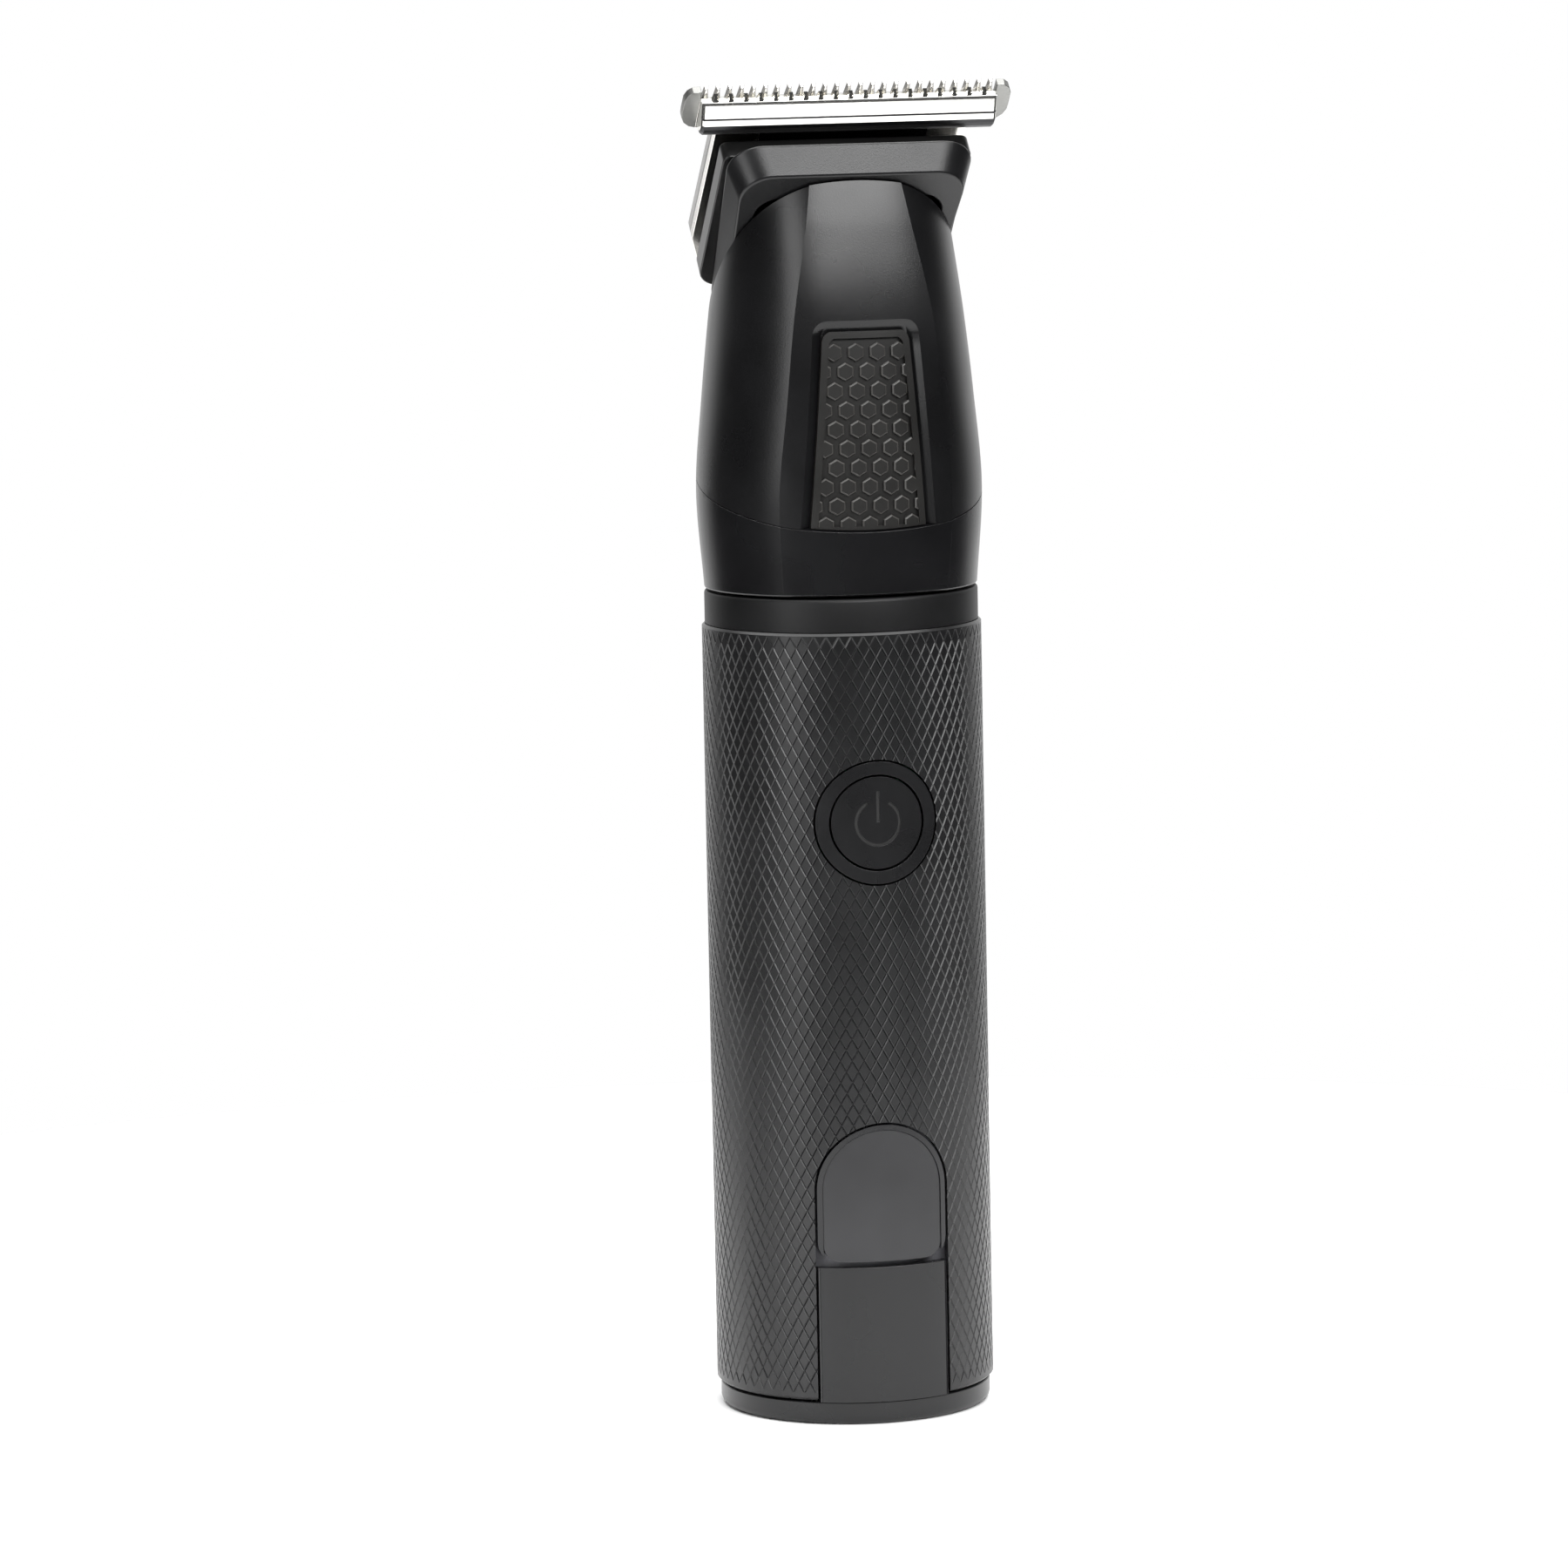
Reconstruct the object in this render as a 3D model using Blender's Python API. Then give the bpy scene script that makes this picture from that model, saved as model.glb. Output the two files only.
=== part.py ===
"""Cordless beard trimmer with a pull-off T-blade head.

Frame: the trimmer stands upright on its flat end cap. The origin is the centre of that base,
+Z is up towards the blade, the power button faces -Y and +X is the right of someone facing the button.
"""

import math

import bmesh
import bpy

MM = 0.001

# Handle
SLEEVE_R = 16.45 * MM
SLEEVE_BORE = 15.2 * MM
SLEEVE_Z0 = 3.0 * MM
SLEEVE_Z1 = 93.3 * MM
SLEEVE_CHAMFER = 0.35 * MM
CAP_R = 16.0 * MM
CAP_TOP = 2.7 * MM
TONGUE_TOP = 18.8 * MM
ARCH_HALF = 8.0 * MM
ARCH_SPRING_Z = 27.9 * MM
WINDOW_HALF = 7.7 * MM
WINDOW_Z0 = 19.4 * MM
WINDOW_R0 = 15.2 * MM
WINDOW_R1 = 16.3 * MM
BUTTON_Z = 71.15 * MM
BUTTON_R = 5.4 * MM
BUTTON_FACE_R = 16.35 * MM
BEZEL_OUTER = 7.17 * MM
BEZEL_INNER = 5.65 * MM
BEZEL_HOLE = 7.4 * MM
CHASSIS_R = 14.9 * MM
CHASSIS_BORE = 13.5 * MM
CHASSIS_TOP = 92.6 * MM
NECK_R = 16.1 * MM
NECK_Z0 = 93.55 * MM
NECK_Z1 = 97.2 * MM
SPIGOT_R = 13.0 * MM
SPIGOT_TOP = 101.1 * MM

# Drive
MOTOR_Y = 1.0 * MM
MOTOR_R = 9.5 * MM
MOTOR_Z0 = 62.0 * MM
MOTOR_Z1 = 86.0 * MM
SHAFT_R = 0.75 * MM
ECCENTRICITY = 1.0 * MM
PIVOT_Z = 122.0 * MM

# Head: height, half-width, back depth, crease half-width, crease depth, facet rise
HEAD_STATIONS = (
    (97.5, 16.05, 16.05, 9.9, 12.6, 2.6),
    (109.0, 16.8, 16.8, 10.3, 13.3, 2.6),
    (120.0, 15.9, 16.6, 9.3, 13.9, 1.9),
    (130.0, 14.8, 16.3, 8.2, 13.7, 1.3),
    (140.0, 13.5, 16.0, 6.3, 12.1, 0.8),
    (147.0, 12.6, 15.8, 5.1, 10.2, 0.5),
)
HEAD_WALL = 2.0 * MM
COLLAR_BORE = 13.8 * MM
SEAM_Z = 109.5 * MM
SEAM_SLOPE = 0.2935
SEAM_GAP = 0.25 * MM
PAD_TOP = 129.4 * MM
PAD_HALF_TOP = 6.2 * MM
PAD_HALF_BOTTOM = 8.1 * MM
PAD_RECESS = 1.2 * MM

# Blade block: t runs along the blade towards its teeth, w runs out through its thickness
RAIL_W0 = 95.05 * MM
RAIL_W1 = 99.1 * MM
RAIL_T0 = 85.2 * MM
RAIL_T1 = 113.3 * MM
RAIL_HALF = 14.7 * MM
RAIL_TAPER = 4.0
BASE_W0 = 99.35 * MM
BASE_W1 = 101.8 * MM
MOVING_W0 = 102.66 * MM
MOVING_W1 = 103.5 * MM
MOVING_HALF = 17.53 * MM
MOVING_TEETH = 19
MOVING_PITCH = 1.77 * MM
FIXED_W0 = 103.6 * MM
FIXED_W1 = 104.6 * MM
FIXED_HALF = 19.45 * MM
FIXED_TEETH = 25
FIXED_PITCH = 1.41 * MM
BAR_T0 = 110.9 * MM
FIXED_TIP = 116.9 * MM
MOVING_TIP = 116.5 * MM
STEM_HALF_TOP = 15.0 * MM
STEM_HALF_BOTTOM = 15.2 * MM
STEM_CORNER_HALF = 14.0 * MM
STEM_CORNER_T = 91.8 * MM
STEM_T0 = 88.0 * MM
SCREW_X = 11.3 * MM
SCREW_T = 91.0 * MM
RETAINER_W0 = 104.8 * MM
RETAINER_W1 = 106.2 * MM
ROOT2 = math.sqrt(2.0)


def material(name, colour, metallic, roughness):
    """A plain surface for one sub-part."""
    made = bpy.data.materials.new(name)
    made.use_nodes = True
    shader = made.node_tree.nodes["Principled BSDF"]
    shader.inputs["Base Color"].default_value = (*colour, 1.0)
    shader.inputs["Metallic"].default_value = metallic
    shader.inputs["Roughness"].default_value = roughness
    made.diffuse_color = (*colour, 1.0)
    return made


def add(name, verts, faces, surface):
    """One named object from points and faces, normals turned outwards."""
    mesh = bpy.data.meshes.new(name)
    mesh.from_pydata([tuple(v) for v in verts], [], faces)
    work = bmesh.new()
    work.from_mesh(mesh)
    bmesh.ops.remove_doubles(work, verts=work.verts, dist=1e-8)
    bmesh.ops.recalc_face_normals(work, faces=work.faces)
    work.to_mesh(mesh)
    work.free()
    obj = bpy.data.objects.new(name, mesh)
    bpy.context.scene.collection.objects.link(obj)
    if surface is not None:
        mesh.materials.append(surface)
    return obj


def rings(name, loops, surface, closed=False):
    """Skin between loops of equal length; closed joins the last loop to the first."""
    count = len(loops[0])
    verts = [point for loop in loops for point in loop]
    faces = []
    last = len(loops) if closed else len(loops) - 1
    for level in range(last):
        low = level * count
        high = ((level + 1) % len(loops)) * count
        for i in range(count):
            j = (i + 1) % count
            faces.append((low + i, low + j, high + j, high + i))
    if not closed:
        faces.append(tuple(range(count))[::-1])
        faces.append(tuple((len(loops) - 1) * count + i for i in range(count)))
    return add(name, verts, faces, surface)


def lathe(name, profile, surface, segments=48, centre=(0.0, 0.0), closed=False):
    """Turn a profile of radius and height about a vertical axis; radius 0 makes a pole."""
    verts = []
    index = []
    for radius, height in profile:
        if radius < 1e-9:
            index.append([len(verts)] * segments)
            verts.append((centre[0], centre[1], height))
            continue
        index.append(list(range(len(verts), len(verts) + segments)))
        for i in range(segments):
            angle = math.tau * i / segments
            verts.append((centre[0] + radius * math.cos(angle), centre[1] + radius * math.sin(angle), height))
    faces = []
    steps = len(profile) if closed else len(profile) - 1
    for k in range(steps):
        low = index[k]
        high = index[(k + 1) % len(profile)]
        for i in range(segments):
            j = (i + 1) % segments
            corner = []
            for v in (low[i], low[j], high[j], high[i]):
                if v not in corner:
                    corner.append(v)
            if len(corner) > 2:
                faces.append(tuple(corner))
    return add(name, verts, faces, surface)


def extrude_y(name, outline, y0, y1, surface):
    """Prism of an outline of x and z between two depths."""
    front = [(x, y0, z) for x, z in outline]
    back = [(x, y1, z) for x, z in outline]
    return rings(name, [front, back], surface)


def extrude_x(name, outline, x0, x1, surface):
    """Prism of an outline of y and z between two sides."""
    return rings(name, [[(x0, y, z) for y, z in outline], [(x1, y, z) for y, z in outline]], surface)


def extrude_z(name, outline, z0, z1, surface):
    """Prism of an outline of x and y between two heights."""
    return rings(name, [[(x, y, z0) for x, y in outline], [(x, y, z1) for x, y in outline]], surface)


def tilted(x, t, w):
    """A point of the blade block, which lies at 45 degrees across the head."""
    return ((x), (w - t) / ROOT2, (w + t) / ROOT2)


def extrude_w(name, outline, w0, w1, surface):
    """Prism of an outline of x and t through the thickness of the blade block."""
    return rings(name, [[tilted(x, t, w0) for x, t in outline], [tilted(x, t, w1) for x, t in outline]], surface)


def box(name, low, high, surface):
    """A block between two corners."""
    outline = [(low[0], low[1]), (high[0], low[1]), (high[0], high[1]), (low[0], high[1])]
    return extrude_z(name, outline, low[2], high[2], surface)


def circle(radius, count, cx=0.0, cy=0.0):
    return [(cx + radius * math.cos(math.tau * i / count), cy + radius * math.sin(math.tau * i / count))
            for i in range(count)]


def rounded(half, low, high, radius_low, radius_high, steps=5):
    """Outline of a plate symmetric about zero with rounded corners."""
    corners = (
        (half - radius_low, low + radius_low, radius_low, -90.0),
        (half - radius_high, high - radius_high, radius_high, 0.0),
        (-half + radius_high, high - radius_high, radius_high, 90.0),
        (-half + radius_low, low + radius_low, radius_low, 180.0),
    )
    outline = []
    for cx, cy, radius, start in corners:
        for k in range(steps + 1):
            angle = math.radians(start + 90.0 * k / steps)
            outline.append((cx + radius * math.cos(angle), cy + radius * math.sin(angle)))
    return outline


def arch(half, z0, spring, corner, steps=20):
    """Outline of an arched window with rounded lower corners."""
    outline = []
    for k in range(5):
        angle = math.radians(180.0 + 90.0 * k / 4)
        outline.append((-half + corner + corner * math.cos(angle), z0 + corner + corner * math.sin(angle)))
    for k in range(5):
        angle = math.radians(270.0 + 90.0 * k / 4)
        outline.append((half - corner + corner * math.cos(angle), z0 + corner + corner * math.sin(angle)))
    for k in range(steps + 1):
        angle = math.pi * k / steps
        outline.append((half * math.cos(angle), spring + half * math.sin(angle)))
    return outline


def combine(obj, other, operation):
    """Boolean with a helper solid, which is used up."""
    step = obj.modifiers.new("step", "BOOLEAN")
    step.solver = "EXACT"
    step.operation = operation
    step.object = other
    depsgraph = bpy.context.evaluated_depsgraph_get()
    mesh = bpy.data.meshes.new_from_object(obj.evaluated_get(depsgraph))
    obj.modifiers.clear()
    old = obj.data
    surfaces = [slot for slot in old.materials]
    obj.data = mesh
    mesh.materials.clear()
    for surface in surfaces:
        mesh.materials.append(surface)
    for face in mesh.polygons:
        face.material_index = 0
    bpy.data.meshes.remove(old)
    bpy.data.objects.remove(other)
    return obj


def cut(obj, other):
    return combine(obj, other, "DIFFERENCE")


def join(obj, other):
    return combine(obj, other, "UNION")


def meet(obj, other):
    return combine(obj, other, "INTERSECT")


def rod_z(name, radius, z0, z1, surface, centre=(0.0, 0.0), segments=24):
    return lathe(name, [(0.0, z0), (radius, z0), (radius, z1), (0.0, z1)], surface, segments, centre)


def rod_y(name, radius, y0, y1, z, surface, x=0.0, segments=48):
    return extrude_y(name, circle(radius, segments, x, z), y0, y1, surface)


def rod_w(name, profile, x, t, surface, segments=24):
    """Turned part whose axis runs through the thickness of the blade block."""
    loops = []
    for radius, w in profile:
        loops.append([tilted(x + a, t + b, w) for a, b in circle(radius, segments)])
    return rings(name, loops, surface)


def wall_tube(name, outer, inner, z0, z1, surface, segments=96):
    profile = [(outer, z0), (outer, z1), (inner, z1), (inner, z0)]
    return lathe(name, profile, surface, segments, closed=True)


# ---------------------------------------------------------------- handle

SCREW_SPOTS = ((0.0, -9.0 * MM), (0.0, 9.0 * MM))
CONTACT_SPOTS = ((-4.5 * MM, -3.0 * MM), (4.5 * MM, -3.0 * MM))


def end_cap():
    """Flat base with the tongue that closes the sleeve's notch below the window."""
    surface = material("end_cap_plastic", (0.02, 0.02, 0.022), 0.0, 0.45)
    profile = [(0.0, 0.0), (15.2 * MM, 0.0), (CAP_R, 0.8 * MM), (CAP_R, CAP_TOP), (0.0, CAP_TOP)]
    cap = lathe("end_cap", profile, surface, 96)
    tongue = wall_tube("tongue", SLEEVE_R - 0.05 * MM, SLEEVE_BORE + 0.05 * MM, 1.9 * MM, TONGUE_TOP, None)
    meet(tongue, box("side", (-7.7 * MM, -20 * MM, 0.0), (7.7 * MM, -5 * MM, 40 * MM), None))
    join(cap, tongue)
    for x, y in CONTACT_SPOTS:
        cut(cap, rod_z("hole", 1.5 * MM, -1 * MM, 4 * MM, None, (x, y)))
    for x, y in SCREW_SPOTS:
        cut(cap, rod_z("hole", 1.2 * MM, -1 * MM, 4 * MM, None, (x, y)))
        cut(cap, rod_z("bore", 2.5 * MM, -1 * MM, 1.5 * MM, None, (x, y)))
    return cap


def charge_contacts():
    surface = material("contact_gold", (0.75, 0.55, 0.22), 1.0, 0.3)
    for name, spot in zip(("charge_contact_left", "charge_contact_right"), CONTACT_SPOTS):
        profile = [(0.0, 0.2 * MM), (1.0 * MM, 0.2 * MM), (1.2 * MM, 0.4 * MM), (1.2 * MM, 6.5 * MM), (0.0, 6.5 * MM)]
        lathe(name, profile, surface, 24, spot)


def end_cap_screws():
    surface = material("screw_steel", (0.45, 0.45, 0.46), 1.0, 0.35)
    for name, spot in zip(("end_cap_screw_front", "end_cap_screw_back"), SCREW_SPOTS):
        profile = [(0.0, 0.9 * MM), (1.0 * MM, 0.9 * MM), (1.0 * MM, 0.5 * MM), (2.0 * MM, 0.5 * MM),
                   (2.2 * MM, 0.7 * MM), (2.2 * MM, 1.2 * MM), (0.9 * MM, 1.2 * MM), (0.9 * MM, 6.5 * MM),
                   (0.4 * MM, 7.1 * MM), (0.0, 7.1 * MM)]
        lathe(name, profile, surface, 18, spot)


def knurled_sleeve():
    """Outer grip of the handle, notched for the window and pierced for the button."""
    surface = material("sleeve_satin_black", (0.035, 0.035, 0.038), 0.0, 0.4)
    c = SLEEVE_CHAMFER
    profile = [(SLEEVE_R - c, SLEEVE_Z0), (SLEEVE_R, SLEEVE_Z0 + c), (SLEEVE_R, SLEEVE_Z1 - c),
               (SLEEVE_R - c, SLEEVE_Z1), (SLEEVE_BORE, SLEEVE_Z1), (SLEEVE_BORE, SLEEVE_Z0)]
    sleeve = lathe("knurled_sleeve", profile, surface, 144, closed=True)
    outline = [(ARCH_HALF, 0.0)]
    for k in range(25):
        angle = math.pi * k / 24
        outline.append((ARCH_HALF * math.cos(angle), ARCH_SPRING_Z + ARCH_HALF * math.sin(angle)))
    outline.append((-ARCH_HALF, 0.0))
    cut(sleeve, extrude_y("notch", outline, -20 * MM, -8 * MM, None))
    cut(sleeve, rod_y("hole", BEZEL_HOLE, -20 * MM, -8 * MM, BUTTON_Z, None))
    return sleeve


def display_window():
    """Arched smoked window that follows the round of the sleeve."""
    surface = material("window_smoked", (0.05, 0.05, 0.055), 0.0, 0.25)
    window = wall_tube("display_window", WINDOW_R1, WINDOW_R0, 10 * MM, 45 * MM, surface, 144)
    outline = arch(WINDOW_HALF, WINDOW_Z0, ARCH_SPRING_Z, 2.2 * MM)
    return meet(window, extrude_y("outline", outline, -20 * MM, -8 * MM, None))


def light_guide():
    surface = material("light_guide_clear", (0.8, 0.82, 0.85), 0.0, 0.15)
    guide = extrude_y("light_guide", arch(4.0 * MM, 22.5 * MM, 29.0 * MM, 0.8 * MM), -14.3 * MM, -11.9 * MM, surface)
    return guide


def indicator_leds():
    surface = material("led_epoxy", (0.85, 0.85, 0.7), 0.0, 0.3)
    for name, x in (("indicator_led_left", -2.0 * MM), ("indicator_led_right", 2.0 * MM)):
        box(name, (x - 0.8 * MM, -11.6 * MM, 26 * MM), (x + 0.8 * MM, -10.9 * MM, 27.6 * MM), surface)


def circuit_board():
    surface = material("board_green", (0.02, 0.16, 0.07), 0.0, 0.4)
    return box("circuit_board", (-7 * MM, -10.6 * MM, 10 * MM), (7 * MM, -9.4 * MM, 86 * MM), surface)


def control_chip():
    surface = material("chip_black", (0.02, 0.02, 0.02), 0.0, 0.5)
    return box("control_chip", (-3 * MM, -12.0 * MM, 44 * MM), (3 * MM, -10.9 * MM, 50 * MM), surface)


def tact_switch():
    """Click switch under the button: its housing and the plunger that moves with the button."""
    body = material("switch_body", (0.03, 0.03, 0.03), 0.0, 0.5)
    tip = material("switch_plunger", (0.75, 0.75, 0.72), 0.0, 0.45)
    low = (-3 * MM, -12.0 * MM, BUTTON_Z - 3 * MM)
    high = (3 * MM, -10.9 * MM, BUTTON_Z + 3 * MM)
    base = box("tact_switch_base", low, high, body)
    cut(base, rod_y("hole", 1.45 * MM, -14 * MM, -11.4 * MM, BUTTON_Z, None, segments=24))
    rod_y("tact_switch_plunger", 1.1 * MM, -13.15 * MM, -12.35 * MM, BUTTON_Z, tip, segments=24)


def power_button():
    surface = material("button_satin_black", (0.035, 0.035, 0.038), 0.0, 0.38)
    button = rod_y("power_button", BUTTON_R, -20 * MM, -13.4 * MM, BUTTON_Z, surface, segments=64)
    return meet(button, rod_z("curve", BUTTON_FACE_R, 50 * MM, 90 * MM, None, segments=144))


def button_bezel():
    surface = material("bezel_satin_black", (0.04, 0.04, 0.043), 0.0, 0.32)
    bezel = rod_y("button_bezel", BEZEL_OUTER, -20 * MM, -12.7 * MM, BUTTON_Z, surface, segments=64)
    cut(bezel, rod_y("hole", BEZEL_INNER, -25 * MM, -5 * MM, BUTTON_Z, None, segments=64))
    return meet(bezel, rod_z("curve", SLEEVE_R, 50 * MM, 90 * MM, None, segments=144))


def chassis():
    """Two half tubes that carry the insides; the rear one has the floor the end cap screws into."""
    surface = material("chassis_front_nylon", (0.10, 0.10, 0.11), 0.0, 0.6)
    other = material("chassis_rear_nylon", (0.12, 0.12, 0.13), 0.0, 0.6)
    front = wall_tube("chassis_front", CHASSIS_R, CHASSIS_BORE, 5.7 * MM, CHASSIS_TOP, surface, 72)
    cut(front, box("half", (-20 * MM, -0.15 * MM, 0.0), (20 * MM, 20 * MM, 100 * MM), None))
    cut(front, rod_y("hole", 7.6 * MM, -20 * MM, -8 * MM, BUTTON_Z, None))
    cut(front, extrude_y("light", arch(4.4 * MM, 22.1 * MM, 29.0 * MM, 0.8 * MM), -20 * MM, -8 * MM, None))
    outline = []
    for k in range(37):
        angle = math.radians(0.6 + 178.8 * k / 36)
        outline.append((CHASSIS_R * math.cos(angle), CHASSIS_R * math.sin(angle)))
    for k in range(37):
        angle = math.radians(179.4 - 178.8 * k / 36)
        outline.append((CHASSIS_BORE * math.cos(angle), CHASSIS_BORE * math.sin(angle)))
    rear = extrude_z("chassis_rear", outline, 3.3 * MM, CHASSIS_TOP, other)
    join(rear, rod_z("floor", 14.2 * MM, 3.5 * MM, 5.3 * MM, None, segments=50))
    for x, y in CONTACT_SPOTS:
        cut(rear, rod_z("hole", 1.5 * MM, 2 * MM, 7 * MM, None, (x, y)))
    for x, y in SCREW_SPOTS:
        cut(rear, rod_z("hole", 1.2 * MM, 2 * MM, 7 * MM, None, (x, y)))


def battery():
    """Round cell with its two welded tabs."""
    cell = material("battery_wrap", (0.05, 0.25, 0.45), 0.0, 0.35)
    tab = material("tab_nickel", (0.6, 0.58, 0.54), 1.0, 0.35)
    profile = [(0.0, 8.5 * MM), (6.7 * MM, 8.5 * MM), (7.0 * MM, 8.9 * MM), (7.0 * MM, 55.5 * MM),
               (6.6 * MM, 56.0 * MM), (7.0 * MM, 56.5 * MM), (7.0 * MM, 58.0 * MM), (6.6 * MM, 58.5 * MM),
               (2.2 * MM, 58.5 * MM), (2.2 * MM, 59.2 * MM), (0.0, 59.2 * MM)]
    lathe("battery_cell", profile, cell, 36, (0.0, 2.5 * MM))
    a = -8.8 * MM
    b = -8.5 * MM
    c = 5.0 * MM
    upper = [(a, 59.5 * MM), (c, 59.5 * MM), (c, 59.8 * MM), (b, 59.8 * MM), (b, 64.0 * MM), (a, 64.0 * MM)]
    lower = [(a, 7.5 * MM), (c, 7.5 * MM), (c, 7.8 * MM), (b, 7.8 * MM), (b, 13.0 * MM), (a, 13.0 * MM)]
    extrude_x("battery_tab_positive", upper, -2.5 * MM, 2.5 * MM, tab)
    extrude_x("battery_tab_negative", lower, -2.5 * MM, 2.5 * MM, tab)


# ---------------------------------------------------------------- drive


def motor_stator():
    """Can, end bell, two magnets and the shaft bush."""
    steel = material("motor_can_steel", (0.5, 0.5, 0.5), 1.0, 0.35)
    bell = material("motor_bell_nylon", (0.75, 0.73, 0.66), 0.0, 0.5)
    ferrite = material("magnet_ferrite", (0.06, 0.06, 0.06), 0.0, 0.6)
    bronze = material("bush_bronze", (0.55, 0.35, 0.15), 1.0, 0.4)
    centre = (0.0, MOTOR_Y)
    profile = [(MOTOR_R, MOTOR_Z0), (MOTOR_R, MOTOR_Z1), (2.2 * MM, MOTOR_Z1), (2.2 * MM, MOTOR_Z1 - 0.6 * MM),
               (8.9 * MM, MOTOR_Z1 - 0.6 * MM), (8.9 * MM, MOTOR_Z0)]
    can = lathe("motor_can", profile, steel, 48, centre, closed=True)
    for x in (-6.0 * MM, 6.0 * MM):
        cut(can, rod_z("hole", 1.0 * MM, 84 * MM, 88 * MM, None, (x, MOTOR_Y)))
    profile = [(8.6 * MM, 62.3 * MM), (8.6 * MM, 64.3 * MM), (1.1 * MM, 64.3 * MM), (1.1 * MM, 62.3 * MM)]
    lathe("motor_end_bell", profile, bell, 36, centre, closed=True)
    for name, middle in (("motor_magnet_left", 180.0), ("motor_magnet_right", 0.0)):
        outline = []
        for k in range(13):
            angle = math.radians(middle - 60.0 + 10.0 * k)
            outline.append((8.6 * MM * math.cos(angle), MOTOR_Y + 8.6 * MM * math.sin(angle)))
        for k in range(13):
            angle = math.radians(middle + 60.0 - 10.0 * k)
            outline.append((6.8 * MM * math.cos(angle), MOTOR_Y + 6.8 * MM * math.sin(angle)))
        extrude_z(name, outline, 66 * MM, 82 * MM, ferrite)
    profile = [(1.9 * MM, 84.9 * MM), (1.9 * MM, 87.6 * MM), (1.05 * MM, 87.6 * MM), (1.05 * MM, 84.9 * MM)]
    lathe("motor_bush", profile, bronze, 24, centre, closed=True)


def motor_mount():
    surface = material("mount_nylon", (0.15, 0.15, 0.16), 0.0, 0.6)
    steel = material("motor_screw_steel", (0.4, 0.4, 0.41), 1.0, 0.35)
    mount = rod_z("motor_mount", 13.2 * MM, 88.0 * MM, 90.0 * MM, surface, segments=48)
    cut(mount, rod_z("hole", 2.6 * MM, 87 * MM, 91 * MM, None, (0.0, MOTOR_Y)))
    for name, x in (("motor_screw_left", -6.0 * MM), ("motor_screw_right", 6.0 * MM)):
        cut(mount, rod_z("hole", 1.0 * MM, 87 * MM, 91 * MM, None, (x, MOTOR_Y)))
        profile = [(0.0, 84.9 * MM), (0.7 * MM, 84.9 * MM), (0.7 * MM, 90.3 * MM), (1.7 * MM, 90.3 * MM),
                   (1.7 * MM, 91.1 * MM), (1.4 * MM, 91.4 * MM), (0.7 * MM, 91.4 * MM), (0.7 * MM, 91.0 * MM),
                   (0.0, 91.0 * MM)]
        lathe(name, profile, steel, 18, (x, MOTOR_Y))


def rotor():
    """Armature, shaft, eccentric cam and the pin that drives the head."""
    copper = material("armature_copper", (0.6, 0.3, 0.15), 1.0, 0.4)
    steel = material("shaft_steel", (0.55, 0.55, 0.56), 1.0, 0.25)
    nylon = material("cam_nylon", (0.8, 0.8, 0.78), 0.0, 0.5)
    hard = material("pin_steel", (0.6, 0.6, 0.6), 1.0, 0.2)
    outer = []
    inner = []
    for i in range(36):
        angle = math.tau * i / 36
        radius = 4.4 * MM if i % 12 in (5, 6, 7) else 6.2 * MM
        outer.append((radius * math.cos(angle), MOTOR_Y + radius * math.sin(angle)))
        inner.append((1.05 * MM * math.cos(angle), MOTOR_Y + 1.05 * MM * math.sin(angle)))
    loops = [[(x, y, 67 * MM) for x, y in outer], [(x, y, 81 * MM) for x, y in outer],
             [(x, y, 81 * MM) for x, y in inner], [(x, y, 67 * MM) for x, y in inner]]
    rings("motor_armature", loops, copper, closed=True)
    rod_z("motor_shaft", SHAFT_R, 61.0 * MM, 93.6 * MM, steel, (0.0, MOTOR_Y))
    cam = rod_z("eccentric_cam", 4.0 * MM, 92.0 * MM, 95.0 * MM, nylon, (0.0, MOTOR_Y), 36)
    cut(cam, rod_z("hole", 1.05 * MM, 91 * MM, 93.9 * MM, None, (0.0, MOTOR_Y)))
    cut(cam, rod_z("hole", 1.2 * MM, 94.3 * MM, 96 * MM, None, (ECCENTRICITY, MOTOR_Y)))
    profile = [(0.0, 94.5 * MM), (0.9 * MM, 94.5 * MM), (0.9 * MM, 102.4 * MM), (0.5 * MM, 103.0 * MM),
               (0.0, 103.0 * MM)]
    lathe("eccentric_pin", profile, hard, 24, (ECCENTRICITY, MOTOR_Y))


def neck():
    """Smooth ring above the sleeve with the spigot the head pushes onto, and its seal."""
    surface = material("neck_satin_black", (0.03, 0.03, 0.032), 0.0, 0.35)
    rubber = material("o_ring_rubber", (0.02, 0.02, 0.02), 0.0, 0.7)
    profile = [(NECK_R, NECK_Z0), (NECK_R, 96.95 * MM), (15.85 * MM, NECK_Z1), (SPIGOT_R, NECK_Z1),
               (SPIGOT_R, 98.6 * MM), (12.2 * MM, 98.6 * MM), (12.2 * MM, 100.0 * MM), (SPIGOT_R, 100.0 * MM),
               (SPIGOT_R, 100.8 * MM), (12.7 * MM, SPIGOT_TOP), (10.5 * MM, SPIGOT_TOP), (10.5 * MM, 97.0 * MM),
               (6.0 * MM, 97.0 * MM), (6.0 * MM, 95.5 * MM), (14.0 * MM, 95.5 * MM), (14.0 * MM, NECK_Z0)]
    lathe("neck_ring", profile, surface, 96, closed=True)
    profile = []
    for k in range(10):
        angle = math.tau * k / 10
        profile.append((12.85 * MM + 0.52 * MM * math.cos(angle), 99.3 * MM + 0.52 * MM * math.sin(angle)))
    lathe("neck_o_ring", profile, rubber, 48, closed=True)


# ---------------------------------------------------------------- head


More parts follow.
